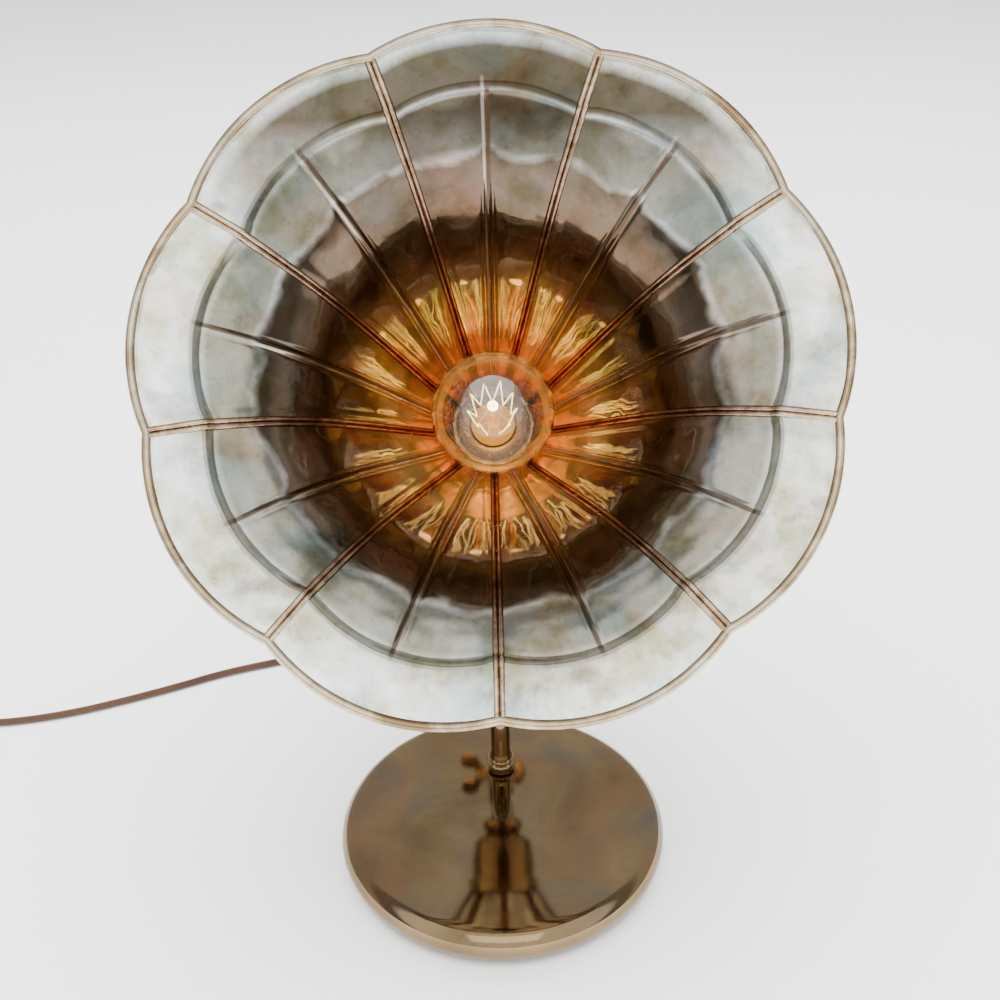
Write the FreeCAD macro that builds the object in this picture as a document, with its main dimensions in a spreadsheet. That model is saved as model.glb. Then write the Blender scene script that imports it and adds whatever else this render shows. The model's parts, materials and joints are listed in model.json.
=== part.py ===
"""Table lamp made from a petalled gramophone horn, as a parametric document.

Frame: millimetres, +Z up, origin at the centre of the felt pad's underside. The bell faces -Y and
looks upwards; the arm, the knuckle and the cord are behind it, towards +Y.
"""
import FreeCAD
import Part
import math
import os
import Sketcher

Vector = FreeCAD.Vector
AXIS_X = Vector(1, 0, 0)
AXIS_Y = Vector(0, 1, 0)
AXIS_Z = Vector(0, 0, 1)

# ---------------------------------------------------------------- driving dimensions
DIMENSIONS = {
    # base
    "base_radius": 130, "base_top": 30, "edge_round": 14, "shell_wall": 1.6,
    "felt_thick": 2, "felt_radius": 110, "plate_radius": 112, "plate_thick": 1.5,
    "weight_radius": 100, "weight_height": 18, "screw_radius": 2, "screw_head": 3.6,
    "screw_length": 10, "screw_across": 55, "nut_way": 17,
    "cord_height": 13, "relief_radius": 6, "relief_length": 28, "relief_inside": 12.2,
    "relief_flange": 2,
    # arm
    "arm_back": 59, "arm_radius": 8, "arm_bore": 6.2, "arm_stub": 18.8, "arm_bend": 90,
    "arm_turn": 58, "arm_run": 183.6, "arm_below": 8.1, "tube_start": 32,
    "cable_radius": 3, "cable_bend": 9,
    "collar_radius": 11.5, "collar_height": 15, "collar_groove": 1.6, "collar_step": 0.6,
    "nut_flats": 22, "nut_thick": 5, "washer_thick": 1.5,
    # knuckle
    "cheek_radius": 22, "cheek_thick": 12, "cheek_gap": 1.1, "lug_reach": 31,
    "socket_radius": 11, "socket_start": 30, "socket_end": 46, "pin_radius": 4,
    "pin_fit": 0.05, "head_radius": 13, "head_height": 12, "bolt_reach": 27,
    "wing_hub": 8, "wing_reach": 33,
    "wing_spread": 18.5, "lobe_radius": 9, "lobe_thick": 4.4,
    # neck and lamp housing, measured from the tilt axis along the bell's axis
    "horn_tip": 51.7, "ring_radius": 20, "housing_back": 62,
    "housing_mouth": 127, "housing_radius": 31.5, "housing_wall": 1.3, "housing_foot": 17,
    "shoulder_radius": 28.5, "shoulder_rise": 8, "shoulder_top": 28, "nipple_radius": 5,
    "nipple_bore": 3.6, "nipple_nut_thick": 4,
    # lamp holder
    "holder_radius": 20, "holder_back": 68, "holder_floor": 86, "holder_front": 107,
    "skirt_front": 121, "shell_radius": 13.9, "cap_radius": 13, "shade_ring_radius": 30,
    "neck_clear": 17.2, "terminal_radius": 1.5, "terminal_out": 14,
    # bulb
    "globe_radius": 47.5, "globe_centre": 180, "glass_wall": 0.9, "glass_neck": 16.2,
    "cap_back": 92, "cap_front": 117, "cap_wall": 0.4, "stem_radius": 3, "stem_reach": 58,
    "mount_length": 50, "filament_radius": 0.4, "cage_radius": 15, "filament_legs": 18,
    # horn
    "mouth_height": 330, "lobe_arc": 142, "lobe_offset": 96,
    "sheet": 0.8, "seam_width": 5, "seam_proud": 0.6, "seam_back": 2.4, "roll_radius": 2.5,
    "petals": 9, "ferrule_back": 108, "ferrule_radius": 36, "ferrule_height": 14,
    "grub_radius": 1.5, "grub_height": 5,
    # cord
    "cord_radius": 3.25, "coil_inner": 27, "coil_outer": 45, "coil_height": 14,
    "band": 1, "band_width": 8, "band_fit": 0.4,
    "plug_heel": 5.5, "plug_face": 16, "plug_length": 36, "plug_thick": 13,
    "pin_pitch": 18.6, "pin_length": 19,
    "switch_length": 58, "switch_width": 24, "switch_height": 15, "switch_split": 7,
    "switch_wall": 1.6, "switch_end": 5, "rocker_length": 16, "rocker_width": 9.6,
    "rocker_pivot": 9, "rocker_rest": 7, "rocker_height": 6.6, "rocker_pin": 1.2,
}


class Size:
    """A number from the sheet together with the expression that gives it."""

    def __init__(self, value, text=None):
        self.value = float(value)
        self.text = text if text is not None else repr(float(value))

    def _with(self, other, sign, value):
        other = other if isinstance(other, Size) else Size(other)
        return Size(value(self.value, other.value), f"({self.text} {sign} {other.text})")

    def __add__(self, other):
        return self._with(other, "+", lambda a, b: a + b)

    def __sub__(self, other):
        return self._with(other, "-", lambda a, b: a - b)

    def __mul__(self, other):
        return self._with(other, "*", lambda a, b: a * b)

    def __truediv__(self, other):
        return self._with(other, "/", lambda a, b: a / b)

    def __rsub__(self, other):
        return Size(other) - self

    def __rmul__(self, other):
        return Size(other) * self

    def __neg__(self):
        return Size(-self.value, f"(-{self.text})")


def as_size(number):
    """A plain number as a Size; a Size is returned as it is."""
    return number if isinstance(number, Size) else Size(number)


doc = FreeCAD.newDocument("horn_table_lamp")
sheet = doc.addObject("Spreadsheet::Sheet", "Dimensions")
sheet.Label = "Dimensions"
for row, (alias, number) in enumerate(DIMENSIONS.items(), start=1):
    sheet.set(f"A{row}", alias)
    sheet.set(f"B{row}", str(number))
    sheet.setAlias(f"B{row}", alias)
doc.recompute()


def dim(alias):
    """One driving dimension of the sheet."""
    return Size(float(getattr(sheet, alias)), f"Dimensions.{alias}")


def num(alias):
    """The plain number of one driving dimension."""
    return dim(alias).value


sub_parts = []


def keep(item):
    """Note an object as a sub-part that is exported under its label."""
    sub_parts.append(item)
    return item


# ---------------------------------------------------------------- places
ARM_TURN = math.radians(num("arm_turn"))
ARM_FOOT = Vector(0, num("arm_back"), num("base_top"))
BEND_START = ARM_FOOT + AXIS_Z * num("arm_stub")
BEND_END = BEND_START + Vector(0, num("arm_bend") * (1 - math.cos(ARM_TURN)),
                               num("arm_bend") * math.sin(ARM_TURN))
ARM_DIRECTION = Vector(0, math.sin(ARM_TURN), math.cos(ARM_TURN))
PIVOT = BEND_END + ARM_DIRECTION * num("arm_run")

UPRIGHT = FreeCAD.Placement()
ON_PIVOT = FreeCAD.Placement(PIVOT, FreeCAD.Rotation(AXIS_Y, 90))
ON_BELL_AXIS = FreeCAD.Placement(PIVOT, FreeCAD.Rotation(AXIS_X, num("horn_tip")))
ON_ARM_AXIS = FreeCAD.Placement(PIVOT, FreeCAD.Rotation(AXIS_X, 180 - num("arm_turn")))
ON_ARM_FOOT = FreeCAD.Placement(Vector(0, num("arm_back"), 0), FreeCAD.Rotation())


# ---------------------------------------------------------------- ways of making a piece
def new_body(label, place=UPRIGHT):
    """An empty body with its label and placement."""
    body = doc.addObject("PartDesign::Body", label)
    body.Label = label
    body.Placement = place
    return keep(body)


def new_sketch(body, plane, name, lift=0):
    """A sketch on one of the body's own origin planes, lifted along the plane's normal."""
    sketch = body.newObject("Sketcher::SketchObject", f"{body.Name}_{name}")
    support = [f for f in body.Origin.OriginFeatures if f.Role == plane][0]
    sketch.AttachmentSupport = [(support, "")]
    sketch.MapMode = "FlatFace"
    lift = as_size(lift)
    sketch.AttachmentOffset = FreeCAD.Placement(Vector(0, 0, lift.value), FreeCAD.Rotation())
    if lift.value:
        sketch.setExpression("AttachmentOffset.Base.z", lift.text)
    return sketch


def bind(sketch, *constraint):
    """Add a constraint whose last value is a Size and bind it to the sheet."""
    *head, size = constraint
    index = sketch.addConstraint(Sketcher.Constraint(*head, size.value))
    sketch.setExpression(f"Constraints[{index}]", size.text)


def pin_point(sketch, element, which, point):
    """Hold one end of a sketch element at a point of the sheet's sizes."""
    for kind, axis, size in (("DistanceX", -2, point[0]), ("DistanceY", -1, point[1])):
        if abs(size.value) < 1e-9:
            sketch.addConstraint(Sketcher.Constraint("PointOnObject", element, which, axis))
        else:
            bind(sketch, kind, -1, 1, element, which, size)


def arc_centre(start, end, radius):
    """Centre of the arc from start to end; a positive radius turns anticlockwise."""
    middle = (start + end) * 0.5
    chord = end - start
    rise = math.sqrt(max(radius * radius - chord.Length ** 2 / 4, 0))
    normal = Vector(-chord.y, chord.x, 0).normalize()
    return middle + normal * (rise if radius > 0 else -rise)


def draw_arc(sketch, start, end, radius):
    """Add an arc; tells which of its ends is the start of the outline's travel."""
    centre = arc_centre(start, end, radius)
    first, last = (start, end) if radius > 0 else (end, start)
    angles = [math.atan2(p.y - centre.y, p.x - centre.x) for p in (first, last)]
    if angles[1] <= angles[0]:
        angles[1] += 2 * math.pi
    circle = Part.Circle(centre, AXIS_Z, abs(radius))
    index = sketch.addGeometry(Part.ArcOfCircle(circle, *angles))
    return index, (1, 2) if radius > 0 else (2, 1)


def outline(sketch, corners):
    """Draw a closed outline. A corner is (x, y), or (x, y, radius) where an arc leads to it."""
    corners = [tuple(as_size(n) for n in corner) for corner in corners]
    pieces = []
    for corner, after in zip(corners, corners[1:] + corners[:1]):
        start = Vector(corner[0].value, corner[1].value, 0)
        end = Vector(after[0].value, after[1].value, 0)
        if len(after) == 3:
            pieces.append(draw_arc(sketch, start, end, after[2].value))
        else:
            pieces.append((sketch.addGeometry(Part.LineSegment(start, end)), (1, 2)))
    for place, (index, ends) in enumerate(pieces):
        after_index, after_ends = pieces[(place + 1) % len(pieces)]
        sketch.addConstraint(Sketcher.Constraint("Coincident", index, ends[1],
                                                 after_index, after_ends[0]))
        pin_point(sketch, index, ends[0], corners[place])
        arc = corners[(place + 1) % len(corners)]
        if len(arc) == 3:
            radius = arc[2] if arc[2].value > 0 else -arc[2]
            bind(sketch, "Radius", index, radius)


def circle(sketch, radius, x=0, y=0):
    """Add one circle, its centre and radius bound to the sheet."""
    radius, x, y = as_size(radius), as_size(x), as_size(y)
    index = sketch.addGeometry(Part.Circle(Vector(x.value, y.value, 0), AXIS_Z, radius.value))
    pin_point(sketch, index, 3, (x, y))
    bind(sketch, "Radius", index, radius)


def turned(label, corners, place=UPRIGHT):
    """A piece turned on a lathe: an outline of (radius, height) corners round its axis."""
    body = new_body(label, place)
    sketch = new_sketch(body, "XZ_Plane", "profile")
    outline(sketch, corners)
    turn = body.newObject("PartDesign::Revolution", f"{label}_turn")
    turn.Profile = sketch
    turn.ReferenceAxis = (sketch, ["V_Axis"])
    turn.Angle = 360
    return body


def padded(body, sketch, length, reverse=False, both_ways=False):
    """Pad a sketch by a length of the sheet."""
    pad = body.newObject("PartDesign::Pad", f"{sketch.Name}_pad")
    pad.Profile = sketch
    pad.Length = length.value
    pad.setExpression("Length", length.text)
    pad.Reversed = reverse
    if both_ways:
        pad.SideType = "Symmetric"
    return pad


def pocket(body, sketch, length, reverse=False):
    """Cut a sketch out of the body and make sure that it takes material away."""
    doc.recompute()
    before = body.Shape.Volume
    cut = body.newObject("PartDesign::Pocket", f"{sketch.Name}_cut")
    cut.Profile = sketch
    cut.Length = length.value
    cut.setExpression("Length", length.text)
    cut.Reversed = reverse
    doc.recompute()
    if body.Shape.Volume >= before:
        raise RuntimeError(f"{body.Label}: {cut.Name} takes nothing away")
    return cut


def washer(label, outer, inner, low, high, place=UPRIGHT):
    """A flat ring."""
    return turned(label, [(inner, low), (outer, low), (outer, high), (inner, high)], place)


def hexagon_nut(label, flats, bore, low, thick, place):
    """A hexagon nut with a plain bore."""
    body = new_body(label, place)
    sketch = new_sketch(body, "XY_Plane", "hexagon", low)
    corner = flats / math.sqrt(3)
    turns = [math.radians(60 * k) for k in range(6)]
    outline(sketch, [(corner * math.cos(a), corner * math.sin(a)) for a in turns])
    circle(sketch, bore)
    padded(body, sketch, thick)
    return body


def solid_piece(label, shape, place=UPRIGHT):
    """A sub-part whose shape is set by Part's own functions."""
    item = doc.addObject("Part::Feature", label)
    item.Label = label
    item.Shape = shape
    item.Placement = place * shape.Placement
    return keep(item)


def pipe(wire, radius):
    """A round rod along a wire of tangent pieces."""
    start = wire.Edges[0]
    section = Part.Circle(start.valueAt(start.FirstParameter),
                          start.tangentAt(start.FirstParameter), radius)
    return wire.makePipeShell([Part.Wire(section.toShape())], True, True)


def rod(start, end, radius):
    """A straight round rod between two points."""
    return Part.makeCylinder(radius, (end - start).Length, start, end - start)


# ---------------------------------------------------------------- base
def make_base():
    """Spun shell, cast weight, bottom plate and felt pad."""
    radius, top = dim("base_radius"), dim("base_top")
    wall, felt = dim("shell_wall"), dim("felt_thick")
    edge, lip = dim("edge_round"), dim("plate_radius")
    flat = radius - edge
    shell = turned("base_shell", [
        (0, top - wall), (flat, top - wall), (radius - wall, top - edge, wall - edge),
        (flat, felt + wall, wall - edge), (lip, felt + wall), (lip, felt), (flat, felt),
        (radius, top - edge, edge), (flat, top, edge), (0, top)])
    drill(shell, "arm_hole", dim("arm_radius"), [(0, dim("arm_back"))], top, wall)
    cord_hole = new_sketch(shell, "XZ_Plane", "cord_hole")
    circle(cord_hole, dim("relief_radius"), 0, dim("cord_height"))
    pocket(shell, cord_hole, radius + wall)

    plate_top = felt + dim("plate_thick")
    plate = turned("base_plate", [(0, felt), (lip, felt), (lip, plate_top), (0, plate_top)])
    drill(plate, "screw_holes", dim("screw_head"), screw_places(), plate_top, dim("plate_thick"))

    weight_radius, depth = dim("weight_radius"), dim("weight_height")
    weight_top = plate_top + depth
    weight = turned("base_weight", [(0, plate_top), (weight_radius, plate_top),
                                    (weight_radius, weight_top), (0, weight_top)])
    drill(weight, "nut_way", dim("nut_way"), [(0, dim("arm_back"))], weight_top, depth)
    channel = new_sketch(weight, "XY_Plane", "cord_channel", weight_top)
    half = dim("nut_way") * 0.5
    outline(channel, [(-half, dim("arm_back")), (half, dim("arm_back")),
                      (half, weight_radius), (-half, weight_radius)])
    pocket(weight, channel, depth)
    drill(weight, "screw_holes", dim("screw_radius"), screw_places(),
          plate_top + dim("screw_length"), dim("screw_length"))
    turned("base_felt", [(0, 0), (dim("felt_radius"), 0), (dim("felt_radius"), felt), (0, felt)])


def screw_places():
    """Centres of the four plate screws."""
    across = dim("screw_across")
    return [(across, across), (-across, across), (-across, -across), (across, -across)]


def drill(body, name, radius, places, top, depth):
    """Cut round holes downwards from a height of the body's own frame."""
    sketch = new_sketch(body, "XY_Plane", name, top)
    for x, y in places:
        circle(sketch, radius, x, y)
    pocket(body, sketch, depth)


def make_plate_screws():
    """Countersunk plate screws, as one group of separate solids."""
    low = num("felt_thick")
    head_top = low + num("plate_thick")
    shapes = []
    for x, y in screw_places():
        foot = Vector(x.value, y.value, low)
        neck = Vector(x.value, y.value, head_top)
        head = rod(foot, neck, num("screw_head"))
        shapes.append(head.fuse(rod(neck, neck + AXIS_Z * num("screw_length"),
                                    num("screw_radius"))).removeSplitter())
    solid_piece("plate_screws", Part.makeCompound(shapes))


def make_strain_relief():
    """Tapered sleeve in the rear edge of the base, round the cord's exit."""
    bore, edge, neck = dim("cord_radius"), dim("base_radius"), dim("relief_radius")
    inner, tip, rib = edge - dim("relief_inside"), edge + dim("relief_length"), dim("relief_flange")
    wide = neck + rib
    turned("cord_strain_relief", [
        (bore, inner), (wide, inner), (wide, inner + rib), (neck, inner + rib),
        (neck, edge + 0.1), (wide, edge + 0.1), (wide, edge + rib + 0.5), (neck, edge + rib * 2),
        (bore + 1, tip), (bore, tip)],
        FreeCAD.Placement(Vector(0, 0, num("cord_height")), FreeCAD.Rotation(AXIS_X, -90)))


# ---------------------------------------------------------------- arm
def make_arm():
    """Bent arm tube with its collar, washer, nut and the cable inside it."""
    body = new_body("arm_tube", ON_ARM_FOOT)
    top, bend, turn = dim("base_top"), dim("arm_bend"), dim("arm_turn")
    low, high = top - dim("arm_below"), top + dim("arm_stub")
    path = new_sketch(body, "YZ_Plane", "path")
    start, knee = Vector(0, low.value, 0), Vector(0, high.value, 0)
    centre = Vector(bend.value, high.value, 0)
    arc = Part.Circle(centre, AXIS_Z, bend.value)
    end = Vector(BEND_END.y - num("arm_back"), BEND_END.z, 0)
    run = dim("arm_run") - dim("tube_start")
    tip = end + Vector(ARM_DIRECTION.y, ARM_DIRECTION.z, 0) * run.value
    path.addGeometry(Part.LineSegment(start, knee))
    path.addGeometry(Part.ArcOfCircle(arc, math.pi - ARM_TURN, math.pi))
    path.addGeometry(Part.LineSegment(end, tip))
    pin_point(path, 0, 1, (Size(0), low))
    pin_point(path, 0, 2, (Size(0), high))
    path.addConstraint(Sketcher.Constraint("Tangent", 0, 2, 1, 2))
    path.addConstraint(Sketcher.Constraint("Tangent", 1, 1, 2, 1))
    bind(path, "Radius", 1, bend)
    bind(path, "Distance", 2, run)
    index = path.addConstraint(Sketcher.Constraint("Angle", 2, math.pi / 2 - ARM_TURN))
    path.setExpression(f"Constraints[{index}]", f"(90 - {turn.text}) * 1deg")
    ring = new_sketch(body, "XY_Plane", "section", low)
    circle(ring, dim("arm_radius"))
    circle(ring, dim("arm_bore"))
    tube = body.newObject("PartDesign::AdditivePipe", "arm_sweep")
    tube.Profile = ring
    tube.Spine = (path, ["Edge1", "Edge2", "Edge3"])

    outer, height, bore = dim("collar_radius"), dim("collar_height"), dim("arm_radius")
    groove, step = outer - dim("collar_groove"), outer - dim("collar_step")
    turned("arm_collar", [
        (bore, top), (outer, top), (outer, top + height * 0.3), (groove, top + height * 0.35),
        (groove, top + height * 0.42), (step, top + height * 0.47), (step, top + height - 1),
        (step - 1, top + height), (bore, top + height)], ON_ARM_FOOT)
    under = top - dim("shell_wall")
    washer_low = under - dim("washer_thick")
    washer("arm_washer", dim("nut_flats") * 0.6, bore, washer_low, under, ON_ARM_FOOT)
    hexagon_nut("arm_nut", dim("nut_flats"), bore, washer_low - dim("nut_thick"),
                dim("nut_thick"), ON_ARM_FOOT)


def make_arm_cable():
    """Cable that fills the arm, turns back inside the base and ends at the relief's tip."""
    radius, back = num("cable_radius"), num("arm_back")
    floor = num("cord_height")
    corner = num("cable_bend")
    exit_end = Vector(0, num("base_radius") + num("relief_length") - 0.7, floor)
    lower_end = Vector(0, back + corner, floor)
    upper_end = Vector(0, back, floor + corner)
    elbow = Vector(0, back + corner * (1 - math.sqrt(0.5)), floor + corner * (1 - math.sqrt(0.5)))
    bend_centre = BEND_START + AXIS_Y * num("arm_bend")
    half = ARM_TURN / 2
    bend_middle = bend_centre + Vector(0, -math.cos(half), math.sin(half)) * num("arm_bend")
    tip = PIVOT - ARM_DIRECTION * (num("tube_start") + 1)
    edges = [Part.LineSegment(exit_end, lower_end), Part.Arc(lower_end, elbow, upper_end),
             Part.LineSegment(upper_end, BEND_START),
             Part.Arc(BEND_START, bend_middle, BEND_END), Part.LineSegment(BEND_END, tip)]
    wire = Part.Wire([edge.toShape() for edge in edges])
    solid_piece("arm_cable", pipe(wire, radius))


# ---------------------------------------------------------------- knuckle
def make_knuckle_half(label, place, side, bore):
    """A cheek disc on one side of the middle plane, with a socket for a tube."""
    body = new_body(label, place)
    gap, thick = dim("cheek_gap") * 0.5 * side, dim("cheek_thick")
    half, reach = dim("socket_radius"), dim("lug_reach")
    disc = new_sketch(body, "YZ_Plane", "cheek", gap)
    circle(disc, dim("cheek_radius"))
    padded(body, disc, thick, reverse=side < 0)
    lug = new_sketch(body, "YZ_Plane", "lug", gap)
    outline(lug, [(-half, 0), (half, 0), (half, reach), (-half, reach)])
    padded(body, lug, thick, reverse=side < 0)
    start, end = dim("socket_start"), dim("socket_end")
    socket = new_sketch(body, "XY_Plane", "socket", start)
    circle(socket, half)
    padded(body, socket, end - start)
    drill(body, "tube_bore", dim("arm_radius"), [(0, 0)], end, end - dim("tube_start"))
    hole = new_sketch(body, "YZ_Plane", "bolt_hole", gap)
    circle(hole, bore)
    pocket(body, hole, thick, reverse=side > 0)


def make_knuckle():
    """Both halves, the bolt, its washers and the wing nut."""
    pin, fit = dim("pin_radius"), dim("pin_fit")
    gap, thick = dim("cheek_gap") * 0.5, dim("cheek_thick")
    make_knuckle_half("knuckle_fixed_half", ON_ARM_AXIS, 1, pin)
    make_knuckle_half("knuckle_tilting_half", ON_BELL_AXIS, -1, pin + fit)
    washer("friction_washer", dim("cheek_radius") - 2, pin, fit - gap, gap, ON_PIVOT)
    outside, plate = gap + thick, dim("washer_thick")
    washers = [ring_shape(num("cheek_radius") / 2, pin.value, low, plate.value)
               for low in (outside.value, -(outside + plate + fit).value)]
    solid_piece("bolt_washers", Part.makeCompound(washers), ON_PIVOT)
    seat, head = outside + plate, dim("head_radius")
    rim = seat + 4
    dome = dim("head_height") - 4
    turned("knuckle_bolt", [
        (0, -dim("bolt_reach")), (pin, -dim("bolt_reach")), (pin, seat), (head, seat),
        (head, rim), (0, rim + dome, (head * head + dome * dome) / (dome * 2))], ON_PIVOT)
    make_wing_nut(-(seat + fit * 2))


def ring_shape(outer, inner, low, thick):
    """A plain ring as a shape, standing on a height of its own frame."""
    foot = AXIS_Z * low
    return Part.makeCylinder(outer, thick, foot).cut(Part.makeCylinder(inner, thick, foot))


def make_wing_nut(seat):
    """Hub with two flat round lobes, one each side of the bolt."""
    hub, bore = dim("wing_hub"), dim("pin_radius") + dim("pin_fit")
    end = -dim("bolt_reach") + 1
    body = turned("wing_nut", [(bore, end), (hub - 1, end), (hub, seat), (bore, seat)], ON_PIVOT)
    spread, reach = dim("wing_spread"), dim("wing_reach")
    root = bore + 1
    for side, name in ((1, "left"), (-1, "right")):
        web = new_sketch(body, "XZ_Plane", f"{name}_web")
        outline(web, [(root * side, end), (root * side, seat - 2), (spread * side, 8 - reach),
                      (spread * 0.7 * side, 4 - reach - 3)])
        padded(body, web, dim("lobe_thick"), both_ways=True)
        lobe = new_sketch(body, "XZ_Plane", f"{name}_lobe")
        circle(lobe, dim("lobe_radius"), spread * side, -reach)
        padded(body, lobe, dim("lobe_thick"), both_ways=True)


# ---------------------------------------------------------------- neck and lamp housing
def make_neck():
    """Neck tube, turned neck ring, and the nipple and nut that hold the housing."""
    tube, bore, back = dim("arm_radius"), dim("nipple_radius"), dim("housing_back")
    end, outer = dim("socket_end"), dim("ring_radius")
    turned("neck_tube", [(bore, dim("tube_start")), (tube, dim("tube_start")),
                         (tube, back), (bore, back)], ON_BELL_AXIS)
    turned("neck_ring", [(tube, end), (outer - 7, end), (outer - 1, end + 3.5),
                         (outer, end + 6), (outer, back - 5), (outer - 3, back), (tube, back)],
           ON_BELL_AXIS)
    washer("neck_nipple", bore, dim("nipple_bore"), end + 2, back + 16, ON_BELL_AXIS)
    hexagon_nut("nipple_nut", dim("nut_flats") * 0.7, bore, back + dim("housing_wall"),
                dim("nipple_nut_thick"), ON_BELL_AXIS)


def make_housing():
    """Cup with a sloping shoulder that encloses the lamp holder."""
    back, mouth, wall = dim("housing_back"), dim("housing_mouth"), dim("housing_wall")
    outer, bore, foot = dim("housing_radius"), dim("nipple_radius"), dim("housing_foot")
    shoulder, rise, top = dim("shoulder_radius"), dim("shoulder_rise"), dim("shoulder_top")
    turned("lamp_housing", [
        (bore, back), (foot, back), (shoulder, back + rise), (outer, back + top), (outer, mouth),
        (outer - wall, mouth), (outer - wall, back + top + 0.4),
        (shoulder - wall, back + rise + 0.8), (foot - 0.5, back + wall), (bore, back + wall)],
        ON_BELL_AXIS)


def make_holder():
    """Lamp holder: body, skirt, screw shell, centre contact, terminals, retaining ring."""
    outer, back, floor = dim("holder_radius"), dim("holder_back"), dim("holder_floor")
    front, skirt = dim("holder_front"), dim("skirt_front")
    cup = dim("shell_radius") + 0.7
    bore = dim("nipple_radius")
    body = turned("holder_body", [(bore, back), (outer, back), (outer, front), (cup, front),
                                  (cup, floor), (bore, floor)], ON_BELL_AXIS)
    terminal = dim("terminal_radius")
    places = [(dim("terminal_out"), 0), (-dim("terminal_out"), 0)]
    drill(body, "terminal_holes", terminal, places, back + 6, Size(6))
    washer("holder_skirt", outer, cup, front, skirt, ON_BELL_AXIS)
    shell, inner = dim("shell_radius"), dim("cap_radius") + 0.1
    turned("screw_shell", [(inner, floor + 4), (cup, floor + 4), (cup, floor + 5),
                           (shell, floor + 5), (shell, skirt - 2), (inner, skirt - 2)],
           ON_BELL_AXIS)
    washer("retaining_ring", dim("shade_ring_radius"), dim("neck_clear"), skirt, skirt + 5,
           ON_BELL_AXIS)
    make_contact(floor.value)
    screws = []
    for x, y in places:
        foot = Vector(x.value, 0, back.value)
        head = rod(foot - AXIS_Z * 1.5, foot, terminal.value * 1.8)
        screws.append(head.fuse(rod(foot, foot + AXIS_Z * 6, terminal.value)))
    solid_piece("terminal_screws", Part.makeCompound(screws), ON_BELL_AXIS)


def make_contact(floor):
    """Leaf with a raised button that meets the bulb's tip."""
    leaf = Part.makeBox(24, 5, 0.6, Vector(-12, -2.5, floor))
    button = Part.makeCylinder(2.4, 2.3, Vector(0, 0, floor + 0.6))
    solid_piece("centre_contact", leaf.fuse(button), ON_BELL_AXIS)


# ---------------------------------------------------------------- bulb
def make_bulb():
    """Globe bulb: glass, cap, insulator, tip, stem, mount wires and filament."""
    globe, centre, wall = dim("globe_radius"), dim("globe_centre"), dim("glass_wall")
    cap, back, front = dim("cap_radius"), dim("cap_back"), dim("cap_front")
    bore, inside, neck = cap - dim("cap_wall"), globe - wall, dim("glass_neck")
    # the neck meets the globe where a 3:4:5 triangle stands on its centre
    turned("bulb_glass", [
        (bore - 1, back + 14), (bore - 0.1, back + 14), (bore - 0.1, front + 0.5),
        (neck, front + 10), (globe * 0.6, centre - globe * 0.8), (0, centre + globe, globe),
        (0, centre + inside), (inside * 0.6, centre - inside * 0.8, -inside),
        (neck - 0.8, front + 10.5), (bore - 1, front + 0.8)], ON_BELL_AXIS)
    washer("bulb_cap", cap, bore, back, front, ON_BELL_AXIS)
    turned("cap_insulator", [(0, back - 1.8), (5, back - 1.8), (bore, back + 2),
                             (bore, back + 3.2), (0, back + 3.2)], ON_BELL_AXIS)
    turned("cap_tip", [(0, back - 3.05), (4, back - 3.05), (4, back - 1.8), (0, back - 1.8)],
           ON_BELL_AXIS)
    stem, top = dim("stem_radius"), back + dim("stem_reach")
    turned("bulb_stem", [(0, back + 15), (bore - 1.2, back + 15), (stem + 2, back + 23),
                         (stem, back + 34), (stem, top), (0, top)], ON_BELL_AXIS)
    make_filament(top.value)


def make_filament(stem_top):
    """Centre mount with its bead, and the zigzag filament round it."""
    tip = stem_top + num("mount_length")
    mount = rod(AXIS_Z * stem_top, AXIS_Z * tip, num("stem_radius") * 0.3)
    bead = Part.makeSphere(num("stem_radius") * 0.87, AXIS_Z * (tip + 1))
    legs = num("filament_legs")
    cage, thin = num("cage_radius"), num("filament_radius")
    corners = []
    for index in range(int(legs) + 1):
        turn = 2 * math.pi * index / legs * 0.95
        reach, height = (cage, stem_top + 2) if index % 2 else (cage * 0.8, tip - 4)
        corners.append(Vector(reach * math.cos(turn), reach * math.sin(turn), height))
    rods = [rod(a, b, thin) for a, b in zip(corners, corners[1:])]
    wire = rods[0].multiFuse(rods[1:] + [Part.makeSphere(thin, c) for c in corners])
    spokes = []
    for corner in corners:
        spokes.append(rod(AXIS_Z * corner.z, corner, thin * 0.6))
    frame = mount.multiFuse([bead] + spokes).cut(wire)
    solid_piece("filament_mount", frame, ON_BELL_AXIS)
    solid_piece("filament", wire, ON_BELL_AXIS)


# ---------------------------------------------------------------- horn
def meridian(depth, reach):
    """Wire of the bell's inner face in its axial plane, moved outwards by a depth."""
    mouth = num("mouth_height")
    corners = [(reach, mouth), (222, mouth), (193, mouth - 5.5), (188, mouth - 10)]
    flare = [(172, 309.5), (152, 294), (123, 262), (98, 225), (74, 185), (54, 152),
             (41, 132), (34.5, 122)]
    points = [Vector(x, 0, z) for x, z in corners + flare]
    moved = []
    for index, point in enumerate(points):
        before, after = points[max(index - 1, 0)], points[min(index + 1, len(points) - 1)]
        along = (after - before).normalize()
        moved.append(point + Vector(-along.z, 0, along.x) * -depth)
    moved[0].x, moved[-1].z = points[0].x, points[-1].z
    return moved


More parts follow.
